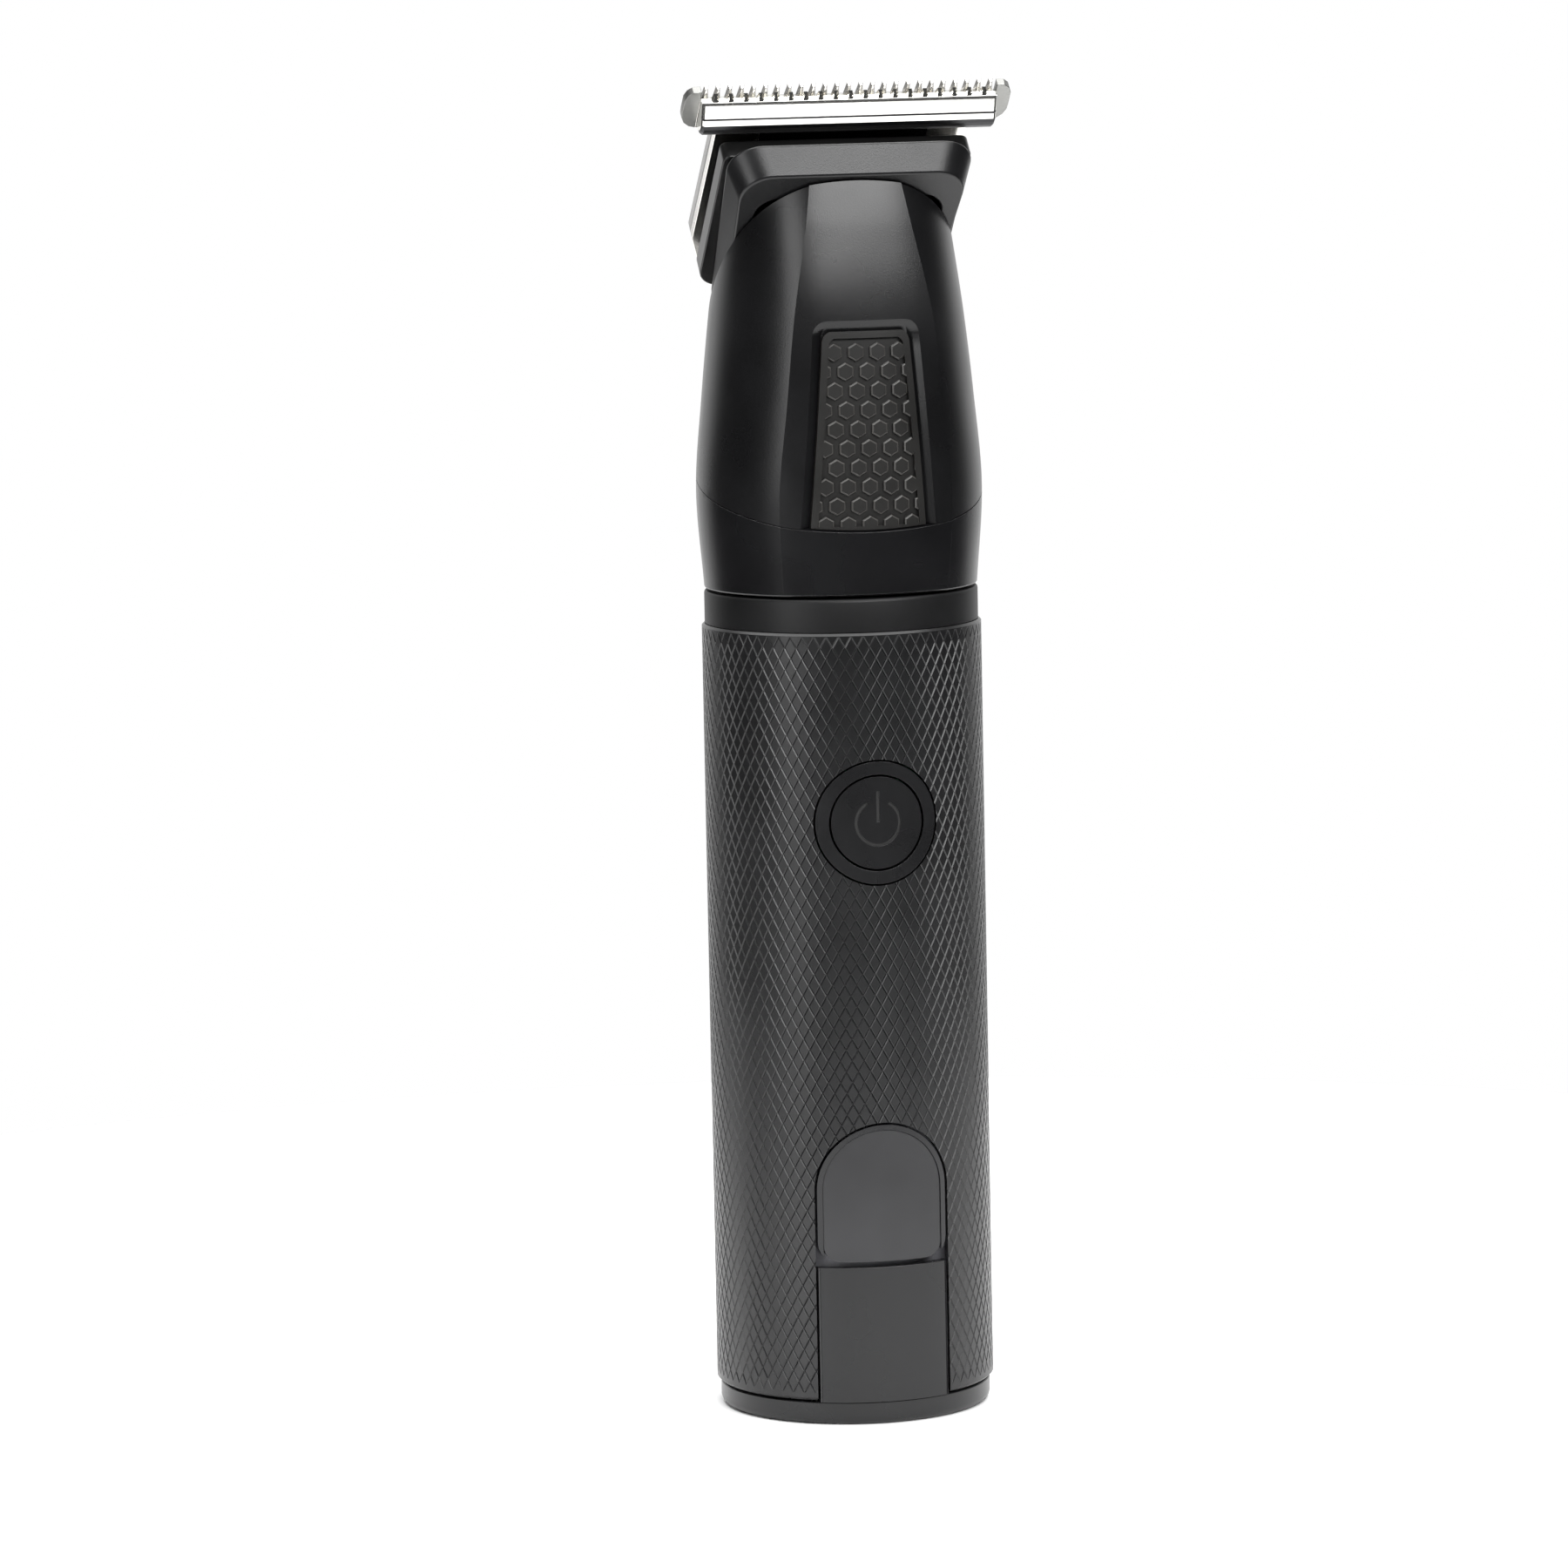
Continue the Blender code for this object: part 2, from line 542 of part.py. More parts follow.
def station(z):
    """Section sizes at a height, in metres, by smooth interpolation of the head stations."""
    rows = HEAD_STATIONS
    value = z / MM
    low = 0
    while low < len(rows) - 2 and value > rows[low + 1][0]:
        low += 1
    a = rows[max(low - 1, 0)]
    b = rows[low]
    c = rows[low + 1]
    d = rows[min(low + 2, len(rows) - 1)]
    span = c[0] - b[0]
    share = min(max((value - b[0]) / span, 0.0), 1.15)
    out = []
    for k in range(1, 6):
        before = (c[k] - a[k]) / (c[0] - a[0]) if c[0] != a[0] else (c[k] - b[k]) / span
        after = (d[k] - b[k]) / (d[0] - b[0])
        s2 = share * share
        s3 = s2 * share
        value_k = (2 * s3 - 3 * s2 + 1) * b[k] + (s3 - 2 * s2 + share) * span * before
        value_k += (-2 * s3 + 3 * s2) * c[k] + (s3 - s2) * span * after
        out.append(value_k * MM)
    return out


def facet_depth(x, z, shrink=0.0):
    """Y of the front facet at a side position and height, pushed inwards by shrink."""
    a, b, c, f, s = station(z)
    radius = (c * c + s * s) / (2.0 * s)
    return -(f + s) + radius - math.sqrt(max(radius * radius - x * x, 0.0)) + shrink


def section(z, shrink=0.0):
    """Closed outline of the head at a height: flat-arched front, creases, round sides and back."""
    a, b, c, f, s = station(z)
    points = []
    for k in range(13):
        x = -c + 2.0 * c * k / 12
        points.append((x, facet_depth(x, z)))
    reach = f / math.sqrt(1.0 - (c / a) ** 2)
    start = math.asin(c / a)
    for k in range(1, 8):
        angle = start + (math.pi / 2 - start) * k / 8
        points.append((a * math.sin(angle), -reach * math.cos(angle)))
    for k in range(33):
        angle = math.pi * k / 32
        points.append((a * math.cos(angle), b * math.sin(angle)))
    for k in range(7, 0, -1):
        angle = start + (math.pi / 2 - start) * k / 8
        points.append((-a * math.sin(angle), -reach * math.cos(angle)))
    if shrink > 0.0:
        sx = (a - shrink) / a
        sy = (b - shrink) / b
        sf = (f + s - shrink) / (f + s)
        points = [(x * sx, y * (sy if y > 0.0 else sf)) for x, y in points]
    return [(x, y, z) for x, y in points]


def seam_cutter(offset, above):
    """Big block whose face is the tilted seam between collar and housing."""
    far = 60 * MM
    edge = 30 * MM
    left = SEAM_Z - SEAM_SLOPE * edge + offset
    right = SEAM_Z + SEAM_SLOPE * edge + offset
    side = far if above else -far
    outline = [(-edge, left), (edge, right), (edge, SEAM_Z + side), (-edge, SEAM_Z + side)]
    return extrude_x("seam", outline, -edge, edge, None)


def head_collar():
    surface = material("collar_satin_black", (0.03, 0.03, 0.032), 0.0, 0.35)
    outer = []
    for z in (97.5, 97.8, 99.5, 101.5, 103.5, 105.5, 107.3, 109.1, 111.2, 113.3, 115.3, 117.0):
        outer.append(section(z * MM, 0.3 * MM if z == 97.5 else 0.0))
    inner = []
    for z in (117.0, 97.5):
        loop = []
        for x, y, _ in section(z * MM):
            length = math.hypot(x, y)
            loop.append((x * COLLAR_BORE / length, y * COLLAR_BORE / length, z * MM))
        inner.append(loop)
    collar = rings("head_collar", outer + inner, surface, closed=True)
    return cut(collar, seam_cutter(0.0, True))


def blade_pocket(lift):
    """Space above the housing that the rail and the blade block fill."""
    low = 84.2 * MM
    high = 140 * MM
    base = RAIL_W0 - 0.25 * MM + lift
    top = 125 * MM
    corners = [(low, base), (low, top), (high, top), (high, base)]
    outline = [((w - t) / ROOT2, (w + t) / ROOT2) for t, w in corners]
    return extrude_x("pocket", outline, -40 * MM, 40 * MM, None)


def pad_half(z, inset=0.0):
    """Half-width of the grip recess at a height, rounded over its top corners."""
    share = (z - 105.0 * MM) / (PAD_TOP - 105.0 * MM)
    half = PAD_HALF_BOTTOM + (PAD_HALF_TOP - PAD_HALF_BOTTOM) * share - inset
    top = PAD_TOP - inset
    corner = 1.5 * MM
    drop = top - z
    if drop < corner:
        half -= corner - math.sqrt(max(corner * corner - (corner - drop) ** 2, 0.0))
    return half


def pad_block(name, z_low, z_high, inset, inner, outer, surface):
    """Slab that follows the front facet between two depths below it; outer None runs out past the face."""
    heights = [z_low + (z_high - z_low) * k / 12 for k in range(12)]
    heights += [z_high - 1.0 * MM, z_high - 0.5 * MM, z_high - 0.2 * MM, z_high]
    loops = []
    for z in sorted(set(heights)):
        half = pad_half(z, inset)
        loop = []
        for k in range(9):
            x = -half + 2.0 * half * k / 8
            loop.append((x, facet_depth(x, z, inner), z))
        for k in range(8, -1, -1):
            x = -half + 2.0 * half * k / 8
            loop.append((x, -22 * MM if outer is None else facet_depth(x, z, outer), z))
        loops.append(loop)
    return rings(name, loops, surface)


def head_shell():
    """Housing of the head, hollow, with the grip recess and the slanted top."""
    surface = material("shell_satin_black", (0.03, 0.03, 0.032), 0.0, 0.4)
    heights = [103.0 + 2.5 * k for k in range(19)]
    outer = [section(z * MM) for z in heights]
    inner = [section(z * MM, HEAD_WALL) for z in reversed(heights)]
    shell = rings("head_shell", outer + inner, surface, closed=True)
    cut(shell, seam_cutter(SEAM_GAP, False))
    cut(shell, blade_pocket(0.0))
    cut(shell, pad_block("recess", 100.0 * MM, PAD_TOP, 0.0, PAD_RECESS, None, None))
    return shell


def hex_grip_pad():
    surface = material("pad_rubber_black", (0.025, 0.024, 0.022), 0.0, 0.6)
    return pad_block("hex_grip_pad", 106.2 * MM, PAD_TOP - 0.3 * MM, 0.3 * MM, 1.0 * MM, 0.25 * MM, surface)


def rocker_frame():
    """Frame across the inside of the head that holds the rocker's pivot pin."""
    surface = material("rocker_frame_nylon", (0.18, 0.18, 0.19), 0.0, 0.55)
    steel = material("rocker_pin_steel", (0.6, 0.6, 0.6), 1.0, 0.25)
    frame = box("rocker_frame", (-10.5 * MM, -6 * MM, 119 * MM), (10.5 * MM, 8 * MM, 125 * MM), surface)
    join(frame, box("lugs", (-13.0 * MM, -1.5 * MM, 119.5 * MM), (13.0 * MM, 2.5 * MM, 124.5 * MM), None))
    cut(frame, box("inside", (-7 * MM, -3.5 * MM, 110 * MM), (7 * MM, 5.5 * MM, 130 * MM), None))
    cut(frame, rod_y("hole", 1.5 * MM, -10 * MM, 12 * MM, PIVOT_Z, None, segments=24))
    rod_y("rocker_pin", 1.2 * MM, -6.3 * MM, 8.3 * MM, PIVOT_Z, steel, segments=24)


def drive_rocker():
    """Lever that turns the pin's circling into the side-to-side stroke of the cutter."""
    surface = material("rocker_nylon_white", (0.82, 0.82, 0.8), 0.0, 0.45)
    low = [(-4.7, 99.0), (-3.2, 99.0), (-3.2, 105.5), (3.2, 105.5), (3.2, 99.0), (4.7, 99.0), (4.7, 108.0),
           (2.2, 109.5), (2.2, 121.0), (-2.2, 121.0), (-2.2, 109.5), (-4.7, 108.0)]
    outline = [(x * MM, z * MM) for x, z in low]
    rocker = extrude_y("drive_rocker", outline, -1.5 * MM, 3.5 * MM, surface)
    join(rocker, rod_y("boss", 4.0 * MM, -2.9 * MM, 4.9 * MM, PIVOT_Z, None, segments=36))
    arm = [(-2.0, 123.0), (2.0, 123.0), (1.6, 141.0), (1.6, 150.0), (-1.6, 150.0), (-1.6, 141.0)]
    join(rocker, extrude_y("arm", [(x * MM, z * MM) for x, z in arm], -1.5 * MM, 2.5 * MM, None))
    cut(rocker, rod_y("hole", 1.5 * MM, -10 * MM, 12 * MM, PIVOT_Z, None, segments=24))
    corners = [(80 * MM, 101.7 * MM), (80 * MM, 120 * MM), (130 * MM, 120 * MM), (130 * MM, 101.7 * MM)]
    outline = [((w - t) / ROOT2, (w + t) / ROOT2) for t, w in corners]
    cut(rocker, extrude_x("slope", outline, -20 * MM, 20 * MM, None))
    return rocker


# ---------------------------------------------------------------- blade block


def comb_rail():
    """Slanted frame round the top of the head that a clip-on comb slides over."""
    surface = material("rail_satin_grey", (0.16, 0.16, 0.17), 0.0, 0.4)
    levels = ((RAIL_W0, 13.3 * MM, RAIL_T0 + 1.0 * MM, RAIL_T1 - 2.15 * MM),
              (97.1 * MM, RAIL_HALF, RAIL_T0, RAIL_T1),
              (98.4 * MM, RAIL_HALF, RAIL_T0, RAIL_T1 - 0.1 * MM),
              (RAIL_W1, RAIL_HALF - 0.5 * MM, RAIL_T0 + 0.5 * MM, RAIL_T1 - 0.9 * MM))
    loops = []
    for w, half, low, high in levels:
        outline = rounded(half, low, high, 3.5 * MM, 4.0 * MM, 8)
        loops.append([tilted(x * (1.0 - RAIL_TAPER * max(0.0, 111.0 * MM - t)), t, w) for x, t in outline])
    for w in (RAIL_W1, RAIL_W0):
        outline = rounded(11.2 * MM, 89.9 * MM, 107.6 * MM, 2.0 * MM, 3.0 * MM, 8)
        loops.append([tilted(x, t, w) for x, t in outline])
    return rings("comb_rail", loops, surface, closed=True)


def blade_base():
    surface = material("blade_base_black", (0.03, 0.03, 0.03), 0.0, 0.45)
    outline = rounded(14.8 * MM, STEM_T0 + 0.2 * MM, 110.4 * MM, 2.5 * MM, 1.0 * MM, 6)
    base = extrude_w("blade_base", outline, BASE_W0, BASE_W1, surface)
    cut(base, extrude_w("hole", rounded(6.0 * MM, 92.1 * MM, 107.2 * MM, 1.0 * MM, 1.0 * MM, 3), 90 * MM, 110 * MM,
                        None))
    for x in (-SCREW_X, SCREW_X):
        cut(base, rod_w("hole", [(1.3 * MM, 100.2 * MM), (1.3 * MM, 110 * MM)], x, SCREW_T, None))
    return base


def cutter_carrier():
    surface = material("carrier_nylon", (0.7, 0.7, 0.68), 0.0, 0.45)
    carrier = extrude_w("cutter_carrier", rounded(4.0 * MM, 93.7 * MM, 106.5 * MM, 0.6 * MM, 0.6 * MM, 3),
                        99.5 * MM, 102.35 * MM, surface)
    hole = [(-1.95 * MM, 95.2 * MM), (1.95 * MM, 95.2 * MM), (1.95 * MM, 105.3 * MM), (-1.95 * MM, 105.3 * MM)]
    return cut(carrier, extrude_w("hole", hole, 90 * MM, 110 * MM, None))


def pressure_spring():
    """Sprung steel leaf whose two legs press the moving blade onto the fixed one."""
    surface = material("spring_steel", (0.55, 0.55, 0.56), 1.0, 0.3)
    points = [(-9.5, 90.6), (9.5, 90.6), (9.5, 107.5), (6.5, 107.5), (6.5, 93.0), (-6.5, 93.0), (-6.5, 107.5),
              (-9.5, 107.5)]
    return extrude_w("pressure_spring", [(x * MM, t * MM) for x, t in points], 102.05 * MM, 102.35 * MM, surface)


def comb_teeth(half, low, root, tip, count, pitch, gap, shoulder):
    """Outline of a blade bar with tapered teeth along its top edge, closed at its bottom right."""
    outline = [(half, low), (half, shoulder)]
    edge = count * pitch / 2.0
    outline.append((edge + (half - edge) * 0.55, tip - 0.1 * MM))
    for k in range(count):
        right = edge - pitch * k
        left = right - pitch
        start = right - gap / 2.0
        end = left + gap / 2.0
        slim = (start - end) * 0.22
        if k > 0:
            outline.append((start, root))
        outline.append((start - slim, tip))
        outline.append((end + slim, tip))
        if k < count - 1:
            outline.append((end, root))
    outline.append((-edge - (half - edge) * 0.55, tip - 0.1 * MM))
    outline.append((-half, shoulder))
    outline.append((-half, low))
    return outline


def moving_blade():
    """Reciprocating cutter: toothed bar and the tongue the carrier pushes."""
    surface = material("moving_blade_steel", (0.7, 0.7, 0.71), 1.0, 0.2)
    low = BAR_T0 + 0.7 * MM
    teeth = comb_teeth(MOVING_HALF, low, MOVING_TIP - 1.3 * MM, MOVING_TIP, MOVING_TEETH, MOVING_PITCH, 0.7 * MM,
                       MOVING_TIP - 1.0 * MM)
    tongue = [(-10.0 * MM, low), (-10.0 * MM, 99.0 * MM), (10.0 * MM, 99.0 * MM), (10.0 * MM, low)]
    blade = extrude_w("moving_blade", teeth + tongue, MOVING_W0, MOVING_W1, surface)
    ground = [(115.15, 102.5), (114.4, 101.83), (113.45, 101.32), (112.4, 101.3), (111.6, 101.7), (111.35, 102.4),
              (111.35, 103.4), (115.15, 103.4)]
    outline = [((w - t) * MM / ROOT2, (w + t) * MM / ROOT2) for t, w in ground]
    return join(blade, extrude_x("bar", outline, -MOVING_HALF + 0.05 * MM, MOVING_HALF - 0.05 * MM, None))


def fixed_blade():
    """Outer cutter with the wide T-shaped toothed edge."""
    surface = material("fixed_blade_steel", (0.5, 0.5, 0.51), 1.0, 0.25)
    teeth = comb_teeth(FIXED_HALF, BAR_T0 + 1.4 * MM, FIXED_TIP - 1.9 * MM, FIXED_TIP, FIXED_TEETH, FIXED_PITCH,
                       0.5 * MM, FIXED_TIP - 1.3 * MM)
    stem = [(-FIXED_HALF + 1.9 * MM, BAR_T0), (-STEM_HALF_TOP, BAR_T0),
            (-STEM_HALF_BOTTOM, STEM_CORNER_T), (-STEM_CORNER_HALF, STEM_T0), (STEM_CORNER_HALF, STEM_T0),
            (STEM_HALF_BOTTOM, STEM_CORNER_T), (STEM_HALF_TOP, BAR_T0), (FIXED_HALF - 1.9 * MM, BAR_T0)]
    blade = extrude_w("fixed_blade", teeth + stem, FIXED_W0, FIXED_W1, surface)
    for x in (-SCREW_X, SCREW_X):
        cut(blade, rod_w("hole", [(1.3 * MM, 103 * MM), (1.3 * MM, 110 * MM)], x, SCREW_T, None))
    return blade


def blade_retainer():
    surface = material("retainer_steel", (0.6, 0.6, 0.6), 1.0, 0.3)
    outline = [(-STEM_HALF_BOTTOM, STEM_CORNER_T), (-STEM_CORNER_HALF, STEM_T0), (STEM_CORNER_HALF, STEM_T0),
               (STEM_HALF_BOTTOM, STEM_CORNER_T), (STEM_HALF_TOP, BAR_T0 + 1.2 * MM),
               (12.5 * MM, 113.4 * MM), (-12.5 * MM, 113.4 * MM), (-STEM_HALF_TOP, BAR_T0 + 1.2 * MM)]
    plate = extrude_w("blade_retainer", outline, RETAINER_W0, RETAINER_W1, surface)
    for x in (-SCREW_X, SCREW_X):
        cut(plate, rod_w("hole", [(1.3 * MM, 103 * MM), (1.3 * MM, 110 * MM)], x, SCREW_T, None))
    return plate


def blade_screws():
    surface = material("blade_screw_steel", (0.5, 0.5, 0.5), 1.0, 0.3)
    for name, x in (("blade_screw_left", -SCREW_X), ("blade_screw_right", SCREW_X)):
        profile = [(1.0 * MM, 100.5 * MM), (1.0 * MM, 106.4 * MM), (1.9 * MM, 106.4 * MM), (1.9 * MM, 106.8 * MM),
                   (1.5 * MM, 107.1 * MM), (0.9 * MM, 107.1 * MM), (0.9 * MM, 106.7 * MM)]
        rod_w(name, profile, x, SCREW_T, surface)


def build():
    for obj in list(bpy.data.objects):
        bpy.data.objects.remove(obj)
    end_cap()
    charge_contacts()
    end_cap_screws()
    knurled_sleeve()
    display_window()
    light_guide()
    indicator_leds()
    circuit_board()
    control_chip()
    tact_switch()
    power_button()
    button_bezel()
    chassis()
    battery()
    motor_stator()
    motor_mount()
    rotor()
    neck()
    head_collar()
    head_shell()
    hex_grip_pad()
    rocker_frame()
    drive_rocker()
    comb_rail()
    blade_base()
    cutter_carrier()
    pressure_spring()
    moving_blade()
    fixed_blade()
    blade_retainer()
    blade_screws()


build()
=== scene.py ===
"""Beard trimmer: looks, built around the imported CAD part."""

import json
import math

import bmesh
import bpy
from mathutils import Matrix, Vector


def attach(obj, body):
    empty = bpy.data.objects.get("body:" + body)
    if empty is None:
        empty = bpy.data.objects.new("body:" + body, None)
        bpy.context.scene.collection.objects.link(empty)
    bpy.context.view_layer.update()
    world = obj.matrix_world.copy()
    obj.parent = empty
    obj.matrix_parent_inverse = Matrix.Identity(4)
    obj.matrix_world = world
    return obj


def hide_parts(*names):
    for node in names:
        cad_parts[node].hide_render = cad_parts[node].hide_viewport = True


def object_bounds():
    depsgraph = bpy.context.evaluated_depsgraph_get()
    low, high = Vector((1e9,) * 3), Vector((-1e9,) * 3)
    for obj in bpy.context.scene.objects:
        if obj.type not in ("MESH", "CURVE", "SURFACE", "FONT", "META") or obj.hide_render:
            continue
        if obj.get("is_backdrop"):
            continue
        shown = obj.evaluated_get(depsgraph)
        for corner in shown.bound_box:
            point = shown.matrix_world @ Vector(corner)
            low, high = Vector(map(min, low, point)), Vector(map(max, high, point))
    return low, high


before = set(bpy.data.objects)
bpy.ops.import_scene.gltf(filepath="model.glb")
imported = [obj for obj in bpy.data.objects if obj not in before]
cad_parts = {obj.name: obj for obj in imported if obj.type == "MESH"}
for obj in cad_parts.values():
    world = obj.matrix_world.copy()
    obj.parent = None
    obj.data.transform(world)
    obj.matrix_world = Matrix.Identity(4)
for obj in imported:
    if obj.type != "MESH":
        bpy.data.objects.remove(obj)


def measure():
    """Lowest and highest corner of everything, for the size note."""
    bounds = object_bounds()
    return json.loads(json.dumps(bounds, default=lambda v: [float(n) for n in v]))


size_before = measure()

# Sizes are in millimetres and become metres where a mesh is made. They are near the CAD's, within its box.
MM = 0.001
ROOT2 = math.sqrt(2.0)

# handle
SLEEVE_R = 16.45
SLEEVE_Z0 = 3.0
SLEEVE_Z1 = 93.3
BORE_R = 15.2
BUTTON_Z = 71.15
BUTTON_R = 5.4
BUTTON_CROWN_R = 16.35
BEZEL_IN = 5.67
BEZEL_OUT = 7.15
BEZEL_HOLE = 7.38
ARCH_SPRING = 27.9
NOTCH_HALF = 8.0
PANEL_HALF = 7.05
PANEL_Z0 = 19.45
PANEL_R = 16.2
RIM_HALF_OUT = 7.7
RIM_HALF_IN = 7.1
RIM_R = 16.32
TONGUE_HALF = 7.72
TONGUE_TOP = 18.8
TONGUE_R = 16.38

# head
COLLAR_FOOT = 97.5
SEAM_Z = 109.5
SEAM_SLOPE = 0.2935
PAD_TOP = 129.4
PAD_FOOT = 105.0
PAD_HALF_TOP = 6.2
PAD_HALF_FOOT = 8.1
HEX_ACROSS = 1.83
HEX_PITCH_X = 2.57
HEX_PITCH_Z = 2.22
HEX_TOP_ROW = 125.75

# blade stack: w counts up through the plates, t along them towards the teeth
BASE_W = (99.35, 101.8)
MOVING_W = (102.66, 103.5)
FIXED_W = (103.6, 104.6)
RETAINER_W = (104.8, 106.2)
FIXED_TEETH = 25
FIXED_PITCH = 1.41
MOVING_TEETH = 19
MOVING_PITCH = 1.77
SCREW_X = 11.3
SCREW_T = 91.0

# ------------------------------------------------------------------ materials


def new_material(name):
    """A node material, its tree and its Principled shader."""
    made = bpy.data.materials.new(name)
    made.use_nodes = True
    tree = made.node_tree
    shader = tree.nodes["Principled BSDF"]
    return made, tree, shader


def noise(tree, scale, detail, rough=0.5, stretch=None):
    """Noise in object space; stretch squeezes it along each axis."""
    where = tree.nodes.new("ShaderNodeTexCoord")
    field = tree.nodes.new("ShaderNodeTexNoise")
    field.inputs["Scale"].default_value = scale
    field.inputs["Detail"].default_value = detail
    field.inputs["Roughness"].default_value = rough
    if stretch:
        mapping = tree.nodes.new("ShaderNodeMapping")
        mapping.inputs["Scale"].default_value = stretch
        tree.links.new(where.outputs["Object"], mapping.inputs["Vector"])
        tree.links.new(mapping.outputs["Vector"], field.inputs["Vector"])
    else:
        tree.links.new(where.outputs["Object"], field.inputs["Vector"])
    return field


def spread(tree, source, low, high, start=0.3, end=0.7):
    """Map a noise onto a value range."""
    ramp = tree.nodes.new("ShaderNodeMapRange")
    ramp.inputs["From Min"].default_value = start
    ramp.inputs["From Max"].default_value = end
    ramp.inputs["To Min"].default_value = low
    ramp.inputs["To Max"].default_value = high
    tree.links.new(source, ramp.inputs["Value"])
    return ramp.outputs["Result"]


def tint(tree, source, dark, light):
    """Map a noise onto two colours."""
    mix = tree.nodes.new("ShaderNodeMix")
    mix.data_type = "RGBA"
    mix.inputs["A"].default_value = (*dark, 1.0)
    mix.inputs["B"].default_value = (*light, 1.0)
    tree.links.new(spread(tree, source, 0.0, 1.0), mix.inputs["Factor"])
    return mix.outputs["Result"]


def relief(tree, shader, source, depth):
    """Bump of a depth in millimetres, from a noise."""
    bump = tree.nodes.new("ShaderNodeBump")
    bump.inputs["Strength"].default_value = 1.0
    bump.inputs["Distance"].default_value = depth * MM
    tree.links.new(source, bump.inputs["Height"])
    tree.links.new(bump.outputs["Normal"], shader.inputs["Normal"])


def plastic(name, colour, rough, grain=9000.0, depth=0.02, vary=0.25, specular=0.5):
    """Moulded plastic: fine grain in relief, slow drift of shade and gloss."""
    made, tree, shader = new_material(name)
    slow = noise(tree, 90.0, 3.0)
    fine = noise(tree, grain, 2.0)
    low = tuple(c * (1.0 - vary) for c in colour)
    high = tuple(c * (1.0 + vary) for c in colour)
    tree.links.new(tint(tree, slow.outputs["Fac"], low, high), shader.inputs["Base Color"])
    tree.links.new(spread(tree, slow.outputs["Fac"], rough - 0.03, rough + 0.03), shader.inputs["Roughness"])
    relief(tree, shader, fine.outputs["Fac"], depth)
    shader.inputs["Specular IOR Level"].default_value = specular
    return made


def metal(name, colour, rough, stretch=(1.0, 1.0, 1.0), grain=3000.0, depth=0.004, vary=0.12):
    """Metal with directional grinding marks and slight staining."""
    made, tree, shader = new_material(name)
    slow = noise(tree, 160.0, 4.0)
    marks = noise(tree, grain, 3.0, 0.6, stretch)
    low = tuple(c * (1.0 - vary) for c in colour)
    high = tuple(min(c * (1.0 + vary), 1.0) for c in colour)
    tree.links.new(tint(tree, slow.outputs["Fac"], low, high), shader.inputs["Base Color"])
    tree.links.new(spread(tree, marks.outputs["Fac"], rough * 0.75, rough * 1.3), shader.inputs["Roughness"])
    relief(tree, shader, marks.outputs["Fac"], depth)
    shader.inputs["Metallic"].default_value = 1.0
    return made


SATIN = plastic("satin_black", (0.0042, 0.0042, 0.0048), 0.26, grain=7000.0, depth=0.006, specular=0.38)
SHELL = plastic("shell_black", (0.0045, 0.0045, 0.005), 0.29, grain=6500.0, depth=0.010, specular=0.40)
KNURL = plastic("knurl_black", (0.0055, 0.0055, 0.006), 0.32, grain=9000.0, depth=0.003, specular=0.5)
PAD = plastic("pad_black", (0.009, 0.0086, 0.008), 0.37, grain=8000.0, depth=0.003, specular=0.55)
RAIL = plastic("rail_black", (0.0058, 0.0058, 0.0064), 0.31, grain=7000.0, depth=0.010, specular=0.45)
GLOSS = plastic("gloss_black", (0.004, 0.004, 0.005), 0.14, grain=2500.0, depth=0.002)
NECK = plastic("neck_black", (0.0048, 0.0048, 0.0052), 0.46, grain=9000.0, depth=0.003, specular=0.28)
# lighter colour for the grip pad's chamfer faces, a painted highlight
PAD_EDGE_HIGHLIGHT = plastic("pad_edge_painted_highlight", (0.05, 0.048, 0.045), 0.34, grain=8000.0, depth=0.002, specular=0.6)
# lighter grey for the collar's rounded edges, a painted highlight
COLLAR_EDGE_HIGHLIGHT = plastic("collar_edge_painted_highlight", (0.11, 0.11, 0.11), 0.3, grain=8000.0, depth=0.002, specular=0.6)
# lighter colour for the floor and walls of the button's engraved symbol, a painted highlight
MARK_HIGHLIGHT = plastic("button_mark_painted_highlight", (0.02, 0.02, 0.02), 0.4, grain=8000.0, depth=0.002)
BASE_BLACK = plastic("base_black", (0.006, 0.006, 0.006), 0.3, grain=5000.0, depth=0.01)
# grey window panel: a painted reflection of the pale floor on a glossy black lens
WINDOW_REFLECTION = plastic("window_painted_reflection", (0.019, 0.019, 0.0205), 0.33, grain=9000.0, depth=0.003)
BEZEL = plastic("bezel_black", (0.0062, 0.0062, 0.0068), 0.28, grain=9000.0, depth=0.003, specular=0.45)
STEEL = metal("blade_steel", (0.82, 0.80, 0.76), 0.16, stretch=(1.0, 14.0, 14.0))
POLISHED = metal("cutter_polished", (0.92, 0.90, 0.86), 0.1, stretch=(1.0, 14.0, 14.0), depth=0.002)
# dark steel for the cutter's lower edge and the groove between its bands, painted shade
CUTTER_SHADE = metal("cutter_painted_shade", (0.05, 0.05, 0.052), 0.34, stretch=(1.0, 8.0, 8.0))
RETAINER = metal("retainer_brushed", (0.40, 0.395, 0.385), 0.3, stretch=(1.0, 14.0, 14.0), depth=0.006)
CORNER = metal("blade_end_grey", (0.26, 0.26, 0.25), 0.4, stretch=(1.0, 6.0, 6.0))

# ------------------------------------------------------------------ mesh tools


def millimetre_mesh(name, verts, faces):
    """Mesh data in metres from vertices in millimetres."""
    mesh = bpy.data.meshes.new(name)
    mesh.from_pydata([(float(x) * MM, float(y) * MM, float(z) * MM) for x, y, z in verts], [], faces)
    return mesh


def face_outwards(mesh, weld):
    """Turn all faces outwards, after joining vertices that coincide if weld is set."""
    work = bmesh.new()
    work.from_mesh(mesh)
    if weld:
        bmesh.ops.remove_doubles(work, verts=work.verts, dist=1e-8)
    bmesh.ops.recalc_face_normals(work, faces=work.faces)
    work.to_mesh(mesh)
    work.free()


